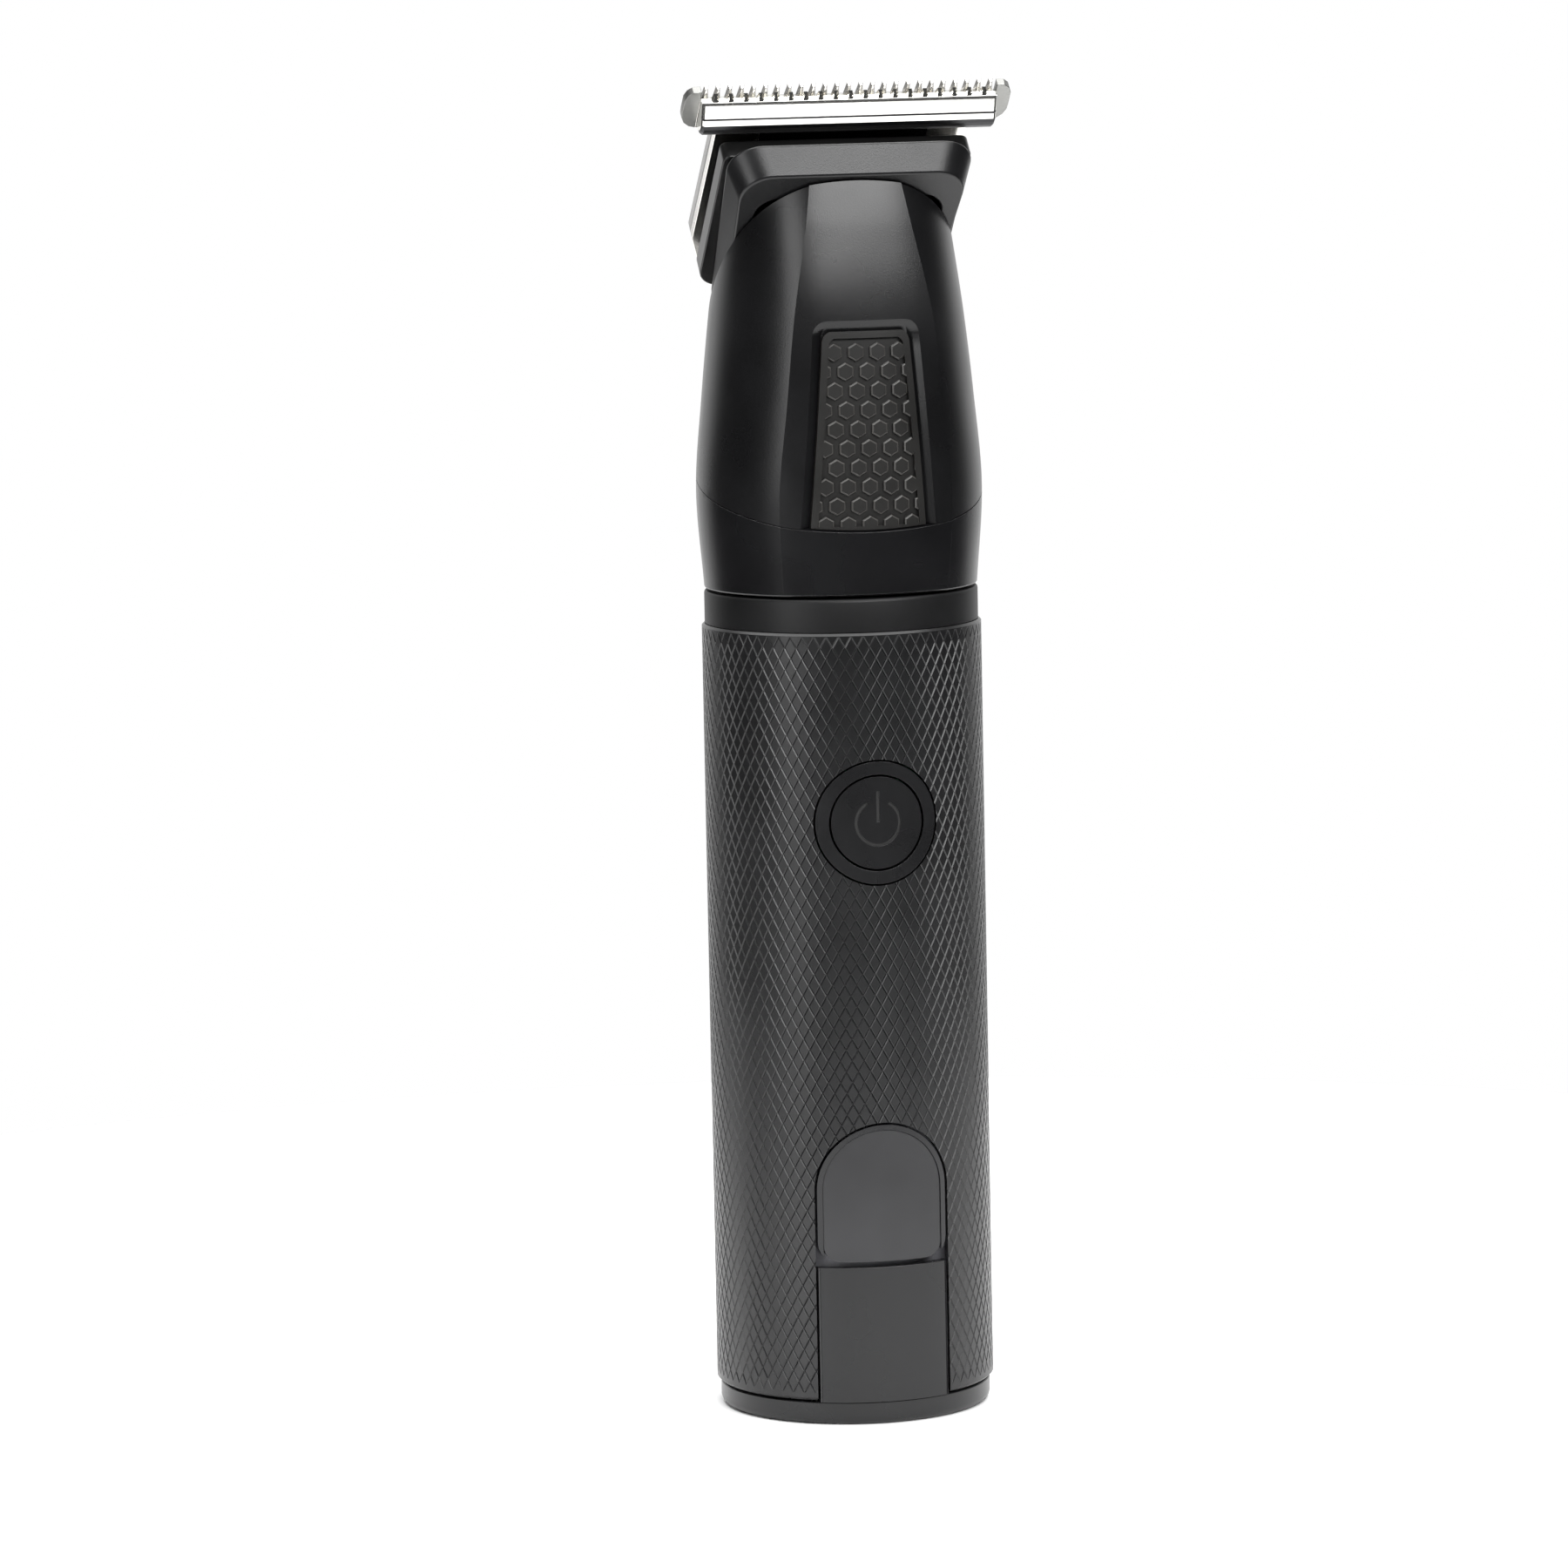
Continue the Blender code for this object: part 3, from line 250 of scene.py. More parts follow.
def make(name, verts, faces, surface, body, replaces=(), slot=None, angle=32.0, bevel=0.0, segments=2,
         weld=True):
    """A finished piece: mesh in millimetres turned into metres, shaded, bevelled, riding on its body."""
    mesh = millimetre_mesh(name, verts, faces)
    mesh.materials.append(surface)
    if weld:
        face_outwards(mesh, True)
    obj = bpy.data.objects.new(name, mesh)
    bpy.context.scene.collection.objects.link(obj)
    finish_surface(obj, angle, bevel, segments)
    if body:
        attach(obj, body)
        if replaces:
            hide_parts(*replaces)
    return obj


def finish_surface(obj, angle, bevel, segments=2, edge_highlight_surface=None):
    """Sharp edges kept by angle, then rounded; a given edge material goes on the rounded strip as a painted
    highlight.
    """
    mesh = obj.data
    mesh.shade_smooth()
    mesh.set_sharp_from_angle(angle=math.radians(angle))
    if bevel > 0.0:
        edge = obj.modifiers.new("edges", "BEVEL")
        edge.width = bevel * MM
        edge.segments = segments
        edge.limit_method = "ANGLE"
        edge.angle_limit = math.radians(angle)
        edge.harden_normals = False
        edge.use_clamp_overlap = True
        if edge_highlight_surface is not None:
            mesh.materials.append(edge_highlight_surface)
            edge.material = len(mesh.materials) - 1


def skin(loops, closed=False):
    """Vertices and faces between loops of equal length, capped unless the last joins the first."""
    count = len(loops[0])
    verts = [p for loop in loops for p in loop]
    faces = []
    last = len(loops) if closed else len(loops) - 1
    for level in range(last):
        low = level * count
        high = ((level + 1) % len(loops)) * count
        for i in range(count):
            j = (i + 1) % count
            faces.append((low + i, low + j, high + j, high + i))
    if not closed:
        faces.append(tuple(range(count))[::-1])
        faces.append(tuple((len(loops) - 1) * count + i for i in range(count)))
    return verts, faces


def turned(profile, segments, closed=False, centre=(0.0, 0.0)):
    """Turn a profile of radius and height about a vertical axis."""
    verts = []
    index = []
    for radius, height in profile:
        if radius < 1e-6:
            index.append([len(verts)] * segments)
            verts.append((centre[0], centre[1], height))
            continue
        index.append(list(range(len(verts), len(verts) + segments)))
        for i in range(segments):
            angle = math.tau * i / segments
            verts.append((centre[0] + radius * math.cos(angle), centre[1] + radius * math.sin(angle), height))
    faces = []
    steps = len(profile) if closed else len(profile) - 1
    for k in range(steps):
        low = index[k]
        high = index[(k + 1) % len(profile)]
        for i in range(segments):
            j = (i + 1) % segments
            corner = []
            for v in (low[i], low[j], high[j], high[i]):
                if v not in corner:
                    corner.append(v)
            if len(corner) > 2:
                faces.append(tuple(corner))
    return verts, faces


def tilted(x, t, w):
    """Place in the blade stack, which leans 45 degrees, as x, y, z."""
    return (x, (w - t) / ROOT2, (w + t) / ROOT2)


def plate_w(outline, w0, w1):
    """Plate of the blade stack with an outline in x and t."""
    return skin([[tilted(x, t, w0) for x, t in outline], [tilted(x, t, w1) for x, t in outline]])


def helper(verts, faces):
    """A solid used up by a boolean."""
    mesh = millimetre_mesh("helper", verts, faces)
    face_outwards(mesh, False)
    obj = bpy.data.objects.new("helper", mesh)
    bpy.context.scene.collection.objects.link(obj)
    return obj


def prism_y(outline, y0=-20.0, y1=-8.0):
    """Helper with an outline in x and z, through the front wall unless told otherwise."""
    return helper(*skin([[(x, y0, z) for x, z in outline], [(x, y1, z) for x, z in outline]]))


def prism_x(outline, reach):
    """Helper with an outline in y and z, reaching as far to either side."""
    return helper(*skin([[(-reach, y, z) for y, z in outline], [(reach, y, z) for y, z in outline]]))


def carve(obj, tools, operation="DIFFERENCE"):
    """Boolean a piece with helper solids, before it is shaded and bevelled."""
    obj.modifiers.clear()
    for tool in tools:
        step = obj.modifiers.new("cut", "BOOLEAN")
        step.solver = "EXACT"
        step.operation = operation
        step.object = tool
    mesh = bpy.data.meshes.new_from_object(obj.evaluated_get(bpy.context.evaluated_depsgraph_get()))
    obj.modifiers.clear()
    old = obj.data
    surfaces = list(old.materials)
    obj.data = mesh
    mesh.materials.clear()
    for surface in surfaces:
        mesh.materials.append(surface)
    bpy.data.meshes.remove(old)
    for tool in tools:
        bpy.data.objects.remove(tool)


def arc(cx, cy, radius, start, sweep, steps):
    """Points along an arc, its angles in degrees, both ends included."""
    angles = [math.radians(start + sweep * k / steps) for k in range(steps + 1)]
    return [(cx + radius * math.cos(angle), cy + radius * math.sin(angle)) for angle in angles]


def circle(radius, count, cx=0.0, cy=0.0):
    return [(cx + radius * math.cos(math.tau * i / count), cy + radius * math.sin(math.tau * i / count))
            for i in range(count)]


def arch_outline(half, z0, corner, steps=64):
    """Round arch on straight sides, with small rounded corners at its foot."""
    foot = arc(-half + corner, z0 + corner, corner, 180.0, 90.0, 6)
    foot += arc(half - corner, z0 + corner, corner, 270.0, 90.0, 6)
    return foot + arc(0.0, ARCH_SPRING, half, 0.0, 180.0, steps)


def rod_y(radius, y0, y1, z, count):
    return prism_y(circle(radius, count, 0.0, z), y0, y1)


def screw_holes(w0):
    """Round cutters for the two blade screws, from w0 up."""
    return [helper(*plate_w(circle(1.3, 32, x, SCREW_T), w0, 110.0)) for x in (-SCREW_X, SCREW_X)]


# ------------------------------------------------------------------ head section

# height, half width, depth of the back, half width of the flat facet, depth at its edge, crown of the facet
HEAD_STATIONS = (
    (97.5, 16.05, 16.05, 9.9, 12.6, 2.6),
    (109.0, 16.8, 16.8, 10.3, 13.3, 2.6),
    (120.0, 15.9, 16.6, 9.3, 13.9, 1.9),
    (130.0, 14.8, 16.3, 8.2, 13.7, 1.3),
    (140.0, 13.5, 16.0, 6.3, 12.1, 0.8),
    (147.0, 12.6, 15.8, 5.1, 10.2, 0.5),
)


def station(z):
    """The five sizes of the head at a height, along a smooth curve through the stations."""
    rows = HEAD_STATIONS
    low = 0
    while low < len(rows) - 2 and z > rows[low + 1][0]:
        low += 1
    a = rows[max(low - 1, 0)]
    b = rows[low]
    c = rows[low + 1]
    d = rows[min(low + 2, len(rows) - 1)]
    span = c[0] - b[0]
    share = min(max((z - b[0]) / span, 0.0), 1.15)
    out = []
    for k in range(1, 6):
        before = (c[k] - a[k]) / (c[0] - a[0]) if c[0] != a[0] else (c[k] - b[k]) / span
        after = (d[k] - b[k]) / (d[0] - b[0])
        s2 = share * share
        s3 = s2 * share
        value = (2 * s3 - 3 * s2 + 1) * b[k] + (s3 - 2 * s2 + share) * span * before
        value += (-2 * s3 + 3 * s2) * c[k] + (s3 - s2) * span * after
        out.append(value)
    return out


def facet_depth(x, z, sunk=0.0):
    """Y of the front facet at a place, or of a surface sunk below it."""
    _, _, half, edge, crown = station(z)
    radius = (half * half + crown * crown) / (2.0 * crown)
    return -(edge + crown) + radius - math.sqrt(max(radius * radius - x * x, 0.0)) + sunk


# shares of the way round from the facet's edge to the widest point, closer together near the edge
SIDE_SHARES = (0.0, 0.006, 0.02, 0.05, 0.1, 0.16, 0.23, 0.31, 0.4, 0.5, 0.6, 0.7, 0.8, 0.9)


def head_section(z, shrink=0.0, step=0.0):
    """Outline at a height; step lowers the sides beside the facet by that much."""
    a, b, c, f, s = station(z)
    points = []
    for k in range(41):
        x = -c + 2.0 * c * k / 40
        points.append((x, facet_depth(x, z)))
    reach = f / math.sqrt(1.0 - (c / a) ** 2)
    start = math.asin(c / a)
    side = []
    for share in SIDE_SHARES:
        angle = start + (math.pi / 2 - start) * share
        lower = step * max(0.0, 1.0 - share / 0.7)
        side.append(((a - lower) * math.sin(angle), -(reach - lower) * math.cos(angle)))
    if step <= 0.0:
        side = side[1:]
    points += side
    for k in range(65):
        angle = math.pi * k / 64
        points.append((a * math.cos(angle), b * math.sin(angle)))
    points += [(-x, y) for x, y in reversed(side)]
    if shrink > 0.0:
        points = [(x * (a - shrink) / a, y * ((b - shrink) / b if y > 0.0 else (f + s - shrink) / (f + s)))
                  for x, y in points]
    return [(x, y, z) for x, y in points]


def seam_block(offset, above):
    """Everything above or below the slanted seam, moved up by the offset."""
    edge = 30.0
    far = 60.0 if above else -60.0
    return prism_x([(-edge, SEAM_Z - SEAM_SLOPE * edge + offset), (edge, SEAM_Z + SEAM_SLOPE * edge + offset),
                    (edge, SEAM_Z + far), (-edge, SEAM_Z + far)], edge)


def pad_half(z, inset=0.0, corner=1.6):
    """Half width of the tapered grip field at a height, rounded off at its top."""
    share = (z - PAD_FOOT) / (PAD_TOP - PAD_FOOT)
    half = PAD_HALF_FOOT + (PAD_HALF_TOP - PAD_HALF_FOOT) * share - inset
    drop = PAD_TOP - inset - z
    if drop < corner:
        half -= corner - math.sqrt(max(corner * corner - (corner - drop) ** 2, 0.0))
    return half


# ------------------------------------------------------------------ handle pieces


KNURL_AROUND = 72
KNURL_PITCH = 2.55
KNURL_DEPTH = 0.10
KNURL_Z0 = 3.9
KNURL_Z1 = 92.95
KNURL_ROWS = 2 * round((KNURL_Z1 - KNURL_Z0) / KNURL_PITCH)
LAND = 0.80


def knurl_point(radius, k, z):
    """Point on the sleeve; k counts half diamonds round it."""
    angle = math.pi * k / KNURL_AROUND
    return (radius * math.cos(angle), radius * math.sin(angle), z)


def knurl_skin():
    """Diamond knurl without ends: each diamond is a flat land, LAND of the full size, between V grooves."""
    count = KNURL_AROUND * 2
    last = KNURL_ROWS
    half_z = (KNURL_Z1 - KNURL_Z0) / last
    verts = []
    faces = []
    # grid points lie at the bottom of the grooves, but on the surface along the two end rows
    grid = {}
    for j in range(last + 1):
        for k in range(count):
            if (k + j) % 2 == 0 or j in (0, last):
                grid[(k, j)] = len(verts)
                radius = SLEEVE_R - KNURL_DEPTH if 0 < j < last else SLEEVE_R
                verts.append(knurl_point(radius, k, KNURL_Z0 + j * half_z))
    for j in range(last + 1):
        z = KNURL_Z0 + j * half_z
        for k in range(count):
            if (k + j) % 2 == 0:
                continue
            left = grid[((k - 1) % count, j)]
            right = grid[((k + 1) % count, j)]
            first = len(verts)
            if j in (0, last):
                # half a diamond at an end
                up = 1 if j == 0 else -1
                centre = grid[(k, j)]
                beyond = grid[(k, j + up)]
                verts.append(knurl_point(SLEEVE_R, k - LAND, z))
                verts.append(knurl_point(SLEEVE_R, k + LAND, z))
                verts.append(knurl_point(SLEEVE_R, k, z + up * half_z * LAND))
                half = [(first, centre, first + 1, first + 2), (left, first, first + 2, beyond),
                        (first + 1, right, beyond, first + 2)]
                faces += half if up > 0 else [face[::-1] for face in half]
                continue
            below = grid[(k, j - 1)]
            above = grid[(k, j + 1)]
            verts.append(knurl_point(SLEEVE_R, k - LAND, z))
            verts.append(knurl_point(SLEEVE_R, k, z - half_z * LAND))
            verts.append(knurl_point(SLEEVE_R, k + LAND, z))
            verts.append(knurl_point(SLEEVE_R, k, z + half_z * LAND))
            faces.append((first, first + 1, first + 2, first + 3))
            faces.append((left, below, first + 1, first))
            faces.append((below, right, first + 2, first + 1))
            faces.append((right, above, first + 3, first + 2))
            faces.append((above, left, first, first + 3))
    return verts, faces


def build_sleeve():
    """Knurled tube: plain ends over the chamfers to the bore, a notch for the window, a hole for the button."""
    verts, faces = knurl_skin()
    ends = []
    for start, profile in ((KNURL_Z0, ((SLEEVE_R, 3.35), (SLEEVE_R - 0.35, SLEEVE_Z0), (BORE_R, SLEEVE_Z0))),
                           (KNURL_Z1, ((SLEEVE_R, 93.02), (SLEEVE_R - 0.28, SLEEVE_Z1), (BORE_R, SLEEVE_Z1)))):
        # the land corners along the edge lie between grid points, so the ring is walked in angle order
        ring = sorted((i for i, v in enumerate(verts)
                       if abs(v[2] - start) < 1e-6 and abs(math.hypot(v[0], v[1]) - SLEEVE_R) < 1e-6),
                      key=lambda i: math.atan2(verts[i][1], verts[i][0]))
        angles = [math.atan2(verts[i][1], verts[i][0]) for i in ring]
        previous = ring
        for radius, height in profile:
            now = list(range(len(verts), len(verts) + len(ring)))
            verts += [(radius * math.cos(angle), radius * math.sin(angle), height) for angle in angles]
            for n in range(len(ring)):
                m = (n + 1) % len(ring)
                faces.append((previous[n], previous[m], now[m], now[n]))
            previous = now
        ends.append(previous)
    low, high = ends
    for n in range(len(low)):
        m = (n + 1) % len(low)
        faces.append((low[n], high[n], high[m], low[m]))
    sleeve = make("sleeve_knurled", verts, faces, KNURL, "handle", ("knurled_sleeve",), "sleeve_satin_black")
    outline = [(NOTCH_HALF, -1.0)] + arc(0.0, ARCH_SPRING, NOTCH_HALF, 0.0, 180.0, 64) + [(-NOTCH_HALF, -1.0)]
    carve(sleeve, [prism_y(outline)])
    carve(sleeve, [rod_y(BEZEL_HOLE, -20.0, -8.0, BUTTON_Z, 128)])
    finish_surface(sleeve, 14.0, 0.0)


def tube_band(radius, inner, z0, z1):
    """Length of plain tube, from which a curved panel is cut."""
    return turned([(radius, z0), (radius, z1), (inner, z1), (inner, z0)], 360, closed=True)


def build_window():
    """Arched window: satin panel whose grey is a painted reflection of the pale floor, with a raised glossy rim
    round its arch and sides.
    """
    panel = make("window_panel", *tube_band(PANEL_R, 15.25, 12.0, 42.0), WINDOW_REFLECTION, "handle", ("display_window",),
                 "window_smoked")
    carve(panel, [prism_y(arch_outline(PANEL_HALF, PANEL_Z0, 1.9))], "INTERSECT")
    finish_surface(panel, 32.0, 0.12, 3)
    rim = make("window_rim", *tube_band(RIM_R, BORE_R, 12.0, 42.0), GLOSS, "handle", ("display_window",),
               "window_smoked")
    carve(rim, [prism_y(arch_outline(RIM_HALF_OUT, 19.42, 2.3))], "INTERSECT")
    # the inner outline runs on below the panel, so the rim has no foot
    carve(rim, [prism_y(arch_outline(RIM_HALF_IN, 17.0, 1.95), -22.0, -6.0)])
    finish_surface(rim, 32.0, 0.14, 3)


def power_symbol():
    """Cutters for the mark: a ring open at the top, of even depth in the curved cap, and a stroke."""
    deep = 0.16
    loops = []
    for k in range(57):
        angle = math.radians(120.0 + 300.0 * k / 56)
        loop = []
        for radius, outside in ((2.42, True), (2.78, True), (2.78, False), (2.42, False)):
            x = radius * math.cos(angle)
            y = -17.0 if outside else -math.sqrt(BUTTON_CROWN_R ** 2 - x * x) + deep
            loop.append((x, y, BUTTON_Z + radius * math.sin(angle)))
        loops.append(loop)
    half = 0.19
    foot = BUTTON_Z + 0.1
    top = BUTTON_Z + 3.7
    stroke = [[(-half, -17.0, z), (half, -17.0, z), (half, deep - BUTTON_CROWN_R, z),
               (-half, deep - BUTTON_CROWN_R, z)] for z in (foot, top)]
    return helper(*skin(loops)), helper(*skin(stroke))


def build_button():
    """Bezel ring and button, both following the round of the sleeve, with an engraved power symbol."""
    low = 60.0
    high = 84.0
    bezel = make("bezel_ring", *turned([(0.0, low), (SLEEVE_R, low), (SLEEVE_R, high), (0.0, high)], 360),
                 BEZEL, "handle", ("button_bezel",), "bezel_satin_black")
    carve(bezel, [rod_y(BEZEL_OUT, -20.0, -12.7, BUTTON_Z, 160)], "INTERSECT")
    carve(bezel, [rod_y(BEZEL_IN, -25.0, -5.0, BUTTON_Z, 160)])
    finish_surface(bezel, 32.0, 0.16, 3)
    blank = turned([(0.0, low), (BUTTON_CROWN_R, low), (BUTTON_CROWN_R, high), (0.0, high)], 360)
    button = make("button_cap", *blank, BEZEL, "button", ("power_button",), "button_satin_black")
    carve(button, [rod_y(BUTTON_R, -20.0, -13.4, BUTTON_Z, 160)], "INTERSECT")
    for cutter in power_symbol():
        carve(button, [cutter])
    # whatever lies just under the crown near the middle is the floor or wall of the mark, which gets a lighter
    # colour as a painted highlight
    button.data.materials.append(MARK_HIGHLIGHT)
    for face in button.data.polygons:
        x, y, z = (value / MM for value in face.center)
        sunk = y + math.sqrt(BUTTON_CROWN_R ** 2 - x * x)
        if math.hypot(x, z - BUTTON_Z) < 4.6 and sunk > 0.03 and y < -15.5:
            face.material_index = 1
    finish_surface(button, 32.0, 0.07, 2)


def build_end_cap():
    """Base with holes for the contacts and screws, and the tongue that closes the notch under the window."""
    profile = [(0.0, 0.0), (15.0, 0.0), (15.5, 0.12), (15.85, 0.45), (16.0, 0.95), (16.0, 2.6), (15.9, 2.7),
               (0.0, 2.7)]
    cap = make("cap_base", *turned(profile, 192), BEZEL, "handle", ("end_cap",), "end_cap_plastic")
    contact_hole = [(0.0, -1.0), (1.5, -1.0), (1.5, 4.0), (0.0, 4.0)]
    screw_hole = [(0.0, -1.0), (2.5, -1.0), (2.5, 1.5), (1.2, 1.5), (1.2, 4.0), (0.0, 4.0)]
    tools = [helper(*turned(contact_hole, 48, centre=(x, -3.0))) for x in (-4.5, 4.5)]
    tools += [helper(*turned(screw_hole, 48, centre=(0.0, y))) for y in (-9.0, 9.0)]
    tools.append(helper(*turned([(12.2, -1.0), (12.5, -1.0), (12.5, 0.35), (12.2, 0.35)], 128, closed=True)))
    carve(cap, tools)
    finish_surface(cap, 32.0, 0.08, 2)
    tongue = make("cap_tongue", *tube_band(TONGUE_R, 15.25, 2.75, 30.0), BEZEL, "handle", ("end_cap",),
                  "end_cap_plastic")
    carve(tongue, [prism_y([(-TONGUE_HALF, 2.76), (TONGUE_HALF, 2.76), (TONGUE_HALF, TONGUE_TOP),
                            (-TONGUE_HALF, TONGUE_TOP)])], "INTERSECT")
    finish_surface(tongue, 32.0, 0.15, 3)


def build_neck():
    """Plain band above the sleeve, a groove for the seal and the lip inside the collar."""
    profile = [(16.1, 93.34), (16.1, 96.85), (16.05, 97.05), (15.9, 97.2), (13.0, 97.2), (13.0, 98.6),
               (12.2, 98.6), (12.2, 100.0), (13.0, 100.0), (13.0, 100.75), (12.85, 101.0), (12.6, 101.1),
               (10.5, 101.1), (10.5, 97.0), (6.0, 97.0), (6.0, 95.5), (14.0, 95.5), (14.0, 93.34)]
    make("neck_band", *turned(profile, 192, closed=True), NECK, "handle", ("neck_ring",), "neck_satin_black",
         bevel=0.06)


# ------------------------------------------------------------------ head pieces


def build_collar():
    """Lower part of the head, hollow, cut off along the slanted seam."""
    step = 0.04
    foot_chamfer = ((0.0, 0.22), (0.06, 0.08), (0.2, 0.0))
    outer = [head_section(COLLAR_FOOT + rise, shrink, step) for rise, shrink in foot_chamfer]
    outer += [head_section(COLLAR_FOOT + 0.7 + 0.9 * k, 0.0, step) for k in range(22)]
    inner = []
    for z in (outer[-1][0][2], COLLAR_FOOT):
        a, b, c, f, s = station(z)
        inner.append([(x * 13.8 / a, y * (13.8 / b if y > 0.0 else 13.6 / (f + s)), z)
                      for x, y, _ in head_section(z, 0.0, step)])
    collar = make("collar_band", *skin(outer + inner, closed=True), SATIN, "head", ("head_collar",),
                  "collar_satin_black")
    carve(collar, [seam_block(0.0, True)])
    # the rounded edges get a lighter grey, a painted highlight
    finish_surface(collar, 24.0, 0.09, 2, COLLAR_EDGE_HIGHLIGHT)


def grip_recess():
    """Cutter for the sunk field round the grip: walls that lean out from its floor to the facet."""
    lean = 1.25
    deep = 1.15
    skim = 0.02
    heights = {101.0 + 1.4 * k for k in range(19)} | {127.6, 128.1, 128.5, 128.8, 129.05, 129.25, PAD_TOP}
    loops = []
    for z in sorted(heights):
        edge_half = max(pad_half(z), 0.4)
        floor_half = max(pad_half(z) - lean, 0.2)
        floor = max(deep * min(1.0, max(0.0, (PAD_TOP - z) / 1.7)), skim)
        xs = [floor_half * (-1.0 + 2.0 * k / 12) for k in range(13)]
        loop = [(-edge_half, facet_depth(edge_half, z, skim), z)]
        loop += [(x, facet_depth(x, z, floor), z) for x in xs]
        loop += [(edge_half, facet_depth(edge_half, z, skim), z), (edge_half + skim, -22.0, z),
                 (-edge_half - skim, -22.0, z)]
        loops.append(loop)
    return helper(*skin(loops))


def build_shell():
    """Upper part of the head: hollow, from the seam up to the slanted cut that takes the blade."""
    wall = 2.0
    step = 0.14
    heights = [103.0 + 0.95 * k for k in range(48)]
    outer = [head_section(z, 0.0, step) for z in heights]
    inner = [head_section(z, wall, step) for z in reversed(heights[::3])]
    shell = make("shell_body", *skin(outer + inner, closed=True), SHELL, "head", ("head_shell",),
                 "shell_satin_black")
    carve(shell, [seam_block(0.1, False)])
    low, high, base, top = 84.2, 140.0, 94.8, 125.0
    corners = [tilted(0.0, t, w)[1:] for t, w in ((low, base), (low, top), (high, top), (high, base))]
    carve(shell, [prism_x(corners, 40.0)])
    carve(shell, [grip_recess()])
    finish_surface(shell, 24.0, 0.09, 3)


def grip_layer(z_low, z_high, inset, corner, inner, outer):
    """Slab that follows the facet, between two depths below it; outer None runs out in front."""
    heights = {z_low + (z_high - z_low) * k / 22 for k in range(23)}
    heights |= {z_high - drop for drop in (0.05, 0.15, 0.3, 0.55)}
    loops = []
    for z in sorted(heights):
        half = pad_half(z, inset, corner)
        xs = [half * (-1.0 + 2.0 * k / 13) for k in range(14)]
        loop = [(x, facet_depth(x, z, inner), z) for x in xs]
        loop += [(x, -22.0 if outer is None else facet_depth(x, z, outer), z) for x in reversed(xs)]
        loops.append(loop)
    return skin(loops)


def hexagon_posts(face):
    """Hexagon columns whose front edges are chamfered where they meet a surface sunk by face."""
    flat = HEX_ACROSS / 2.0
    verts = []
    faces = []
    for row in range(10):
        z = HEX_TOP_ROW - HEX_PITCH_Z * row
        for column in range(-4, 5):
            x = (column + (0.0 if row % 2 else 0.5)) * HEX_PITCH_X
            loops = []
            for chamfer, drop in ((0.19, None), (0.19, -0.03), (0.0, 0.17), (0.0, 6.0)):
                radius = (flat - chamfer) / math.cos(math.radians(30.0))
                loop = []
                for k in range(6):
                    angle = math.radians(30.0 + 60.0 * k)
                    vx = x + radius * math.cos(angle)
                    vz = z + radius * math.sin(angle)
                    loop.append((vx, -23.0 if drop is None else facet_depth(vx, vz, face + drop), vz))
                loops.append(loop)
            post_verts, post_faces = skin(loops)
            faces += [tuple(i + len(verts) for i in post_face) for post_face in post_faces]
            verts += post_verts
    return helper(verts, faces)


def build_pad():
    """Flush field with a network of channels sunk in it, which leaves rows of hexagons standing."""
    face = 0.42
    channel_floor = 0.86
    pad = make("grip_pad", *grip_layer(103.6, PAD_TOP - 1.25, 1.2, 1.2, 1.12, face), PAD, "head",
               ("hex_grip_pad",), "pad_rubber_black")
    channels = helper(*grip_layer(105.6, PAD_TOP - 2.05, 2.0, 0.9, channel_floor, None))
    carve(channels, [hexagon_posts(face)])
    carve(pad, [channels])
    carve(pad, [seam_block(0.15, False)])
    # chamfers are the faces that lean between the field and the channel walls; they get a lighter colour as a
    # painted highlight
    pad.data.materials.append(PAD_EDGE_HIGHLIGHT)
    for polygon in pad.data.polygons:
        x, _, z = (value / MM for value in polygon.center)
        facing = Vector((facet_depth(x + 0.5, z) - facet_depth(x - 0.5, z), -1.0,
                         facet_depth(x, z + 0.5) - facet_depth(x, z - 0.5))).normalized()
        if 20.0 < math.degrees(polygon.normal.angle(facing)) < 70.0:
            polygon.material_index = 1
    finish_surface(pad, 32.0, 0.03, 1)


def plate_outline(half, t0, t1, r0, r1, steps=8, front=None):
    """Plate outline with corner radii r0 at t0 and r1 at t1; front is the number of steps round the latter."""
    front = front or steps
    outline = arc(half - r0, t0 + r0, r0, -90.0, 90.0, steps)
    outline += arc(half - r1, t1 - r1, r1, 0.0, 90.0, front)
    outline += arc(-half + r1, t1 - r1, r1, 90.0, 90.0, front)
    outline += arc(-half + r0, t0 + r0, r0, 180.0, 90.0, steps)
    return outline


def build_rail():
    """Slanted comb rail: a frame with a broad leaning face, a chamfer above it and rounded corners."""
    # The CAD's rail has two faces where this one leans in one.
    # w, half width, and where the outline starts and ends along t
    levels = ((95.05, 13.5, 86.0, 111.35), (98.3, 14.7, 85.2, 113.25), (99.1, 14.2, 85.8, 112.35))
    taper = 0.004
    taper_from = 111.0
    loops = []
    for w, half, low, high in levels:
        outline = plate_outline(half, low, high, 3.5, 4.0, front=10)
        loops.append([tilted(x * (1.0 - taper * max(0.0, taper_from - t)), t, w) for x, t in outline])
    for w in (levels[-1][0], levels[0][0]):
        loops.append([tilted(x, t, w) for x, t in plate_outline(11.2, 89.9, 107.6, 2.0, 3.0, front=10)])
    make("rail_frame", *skin(loops, closed=True), RAIL, "head", ("comb_rail",), "rail_satin_grey", angle=24.0,
         bevel=0.22, segments=4)


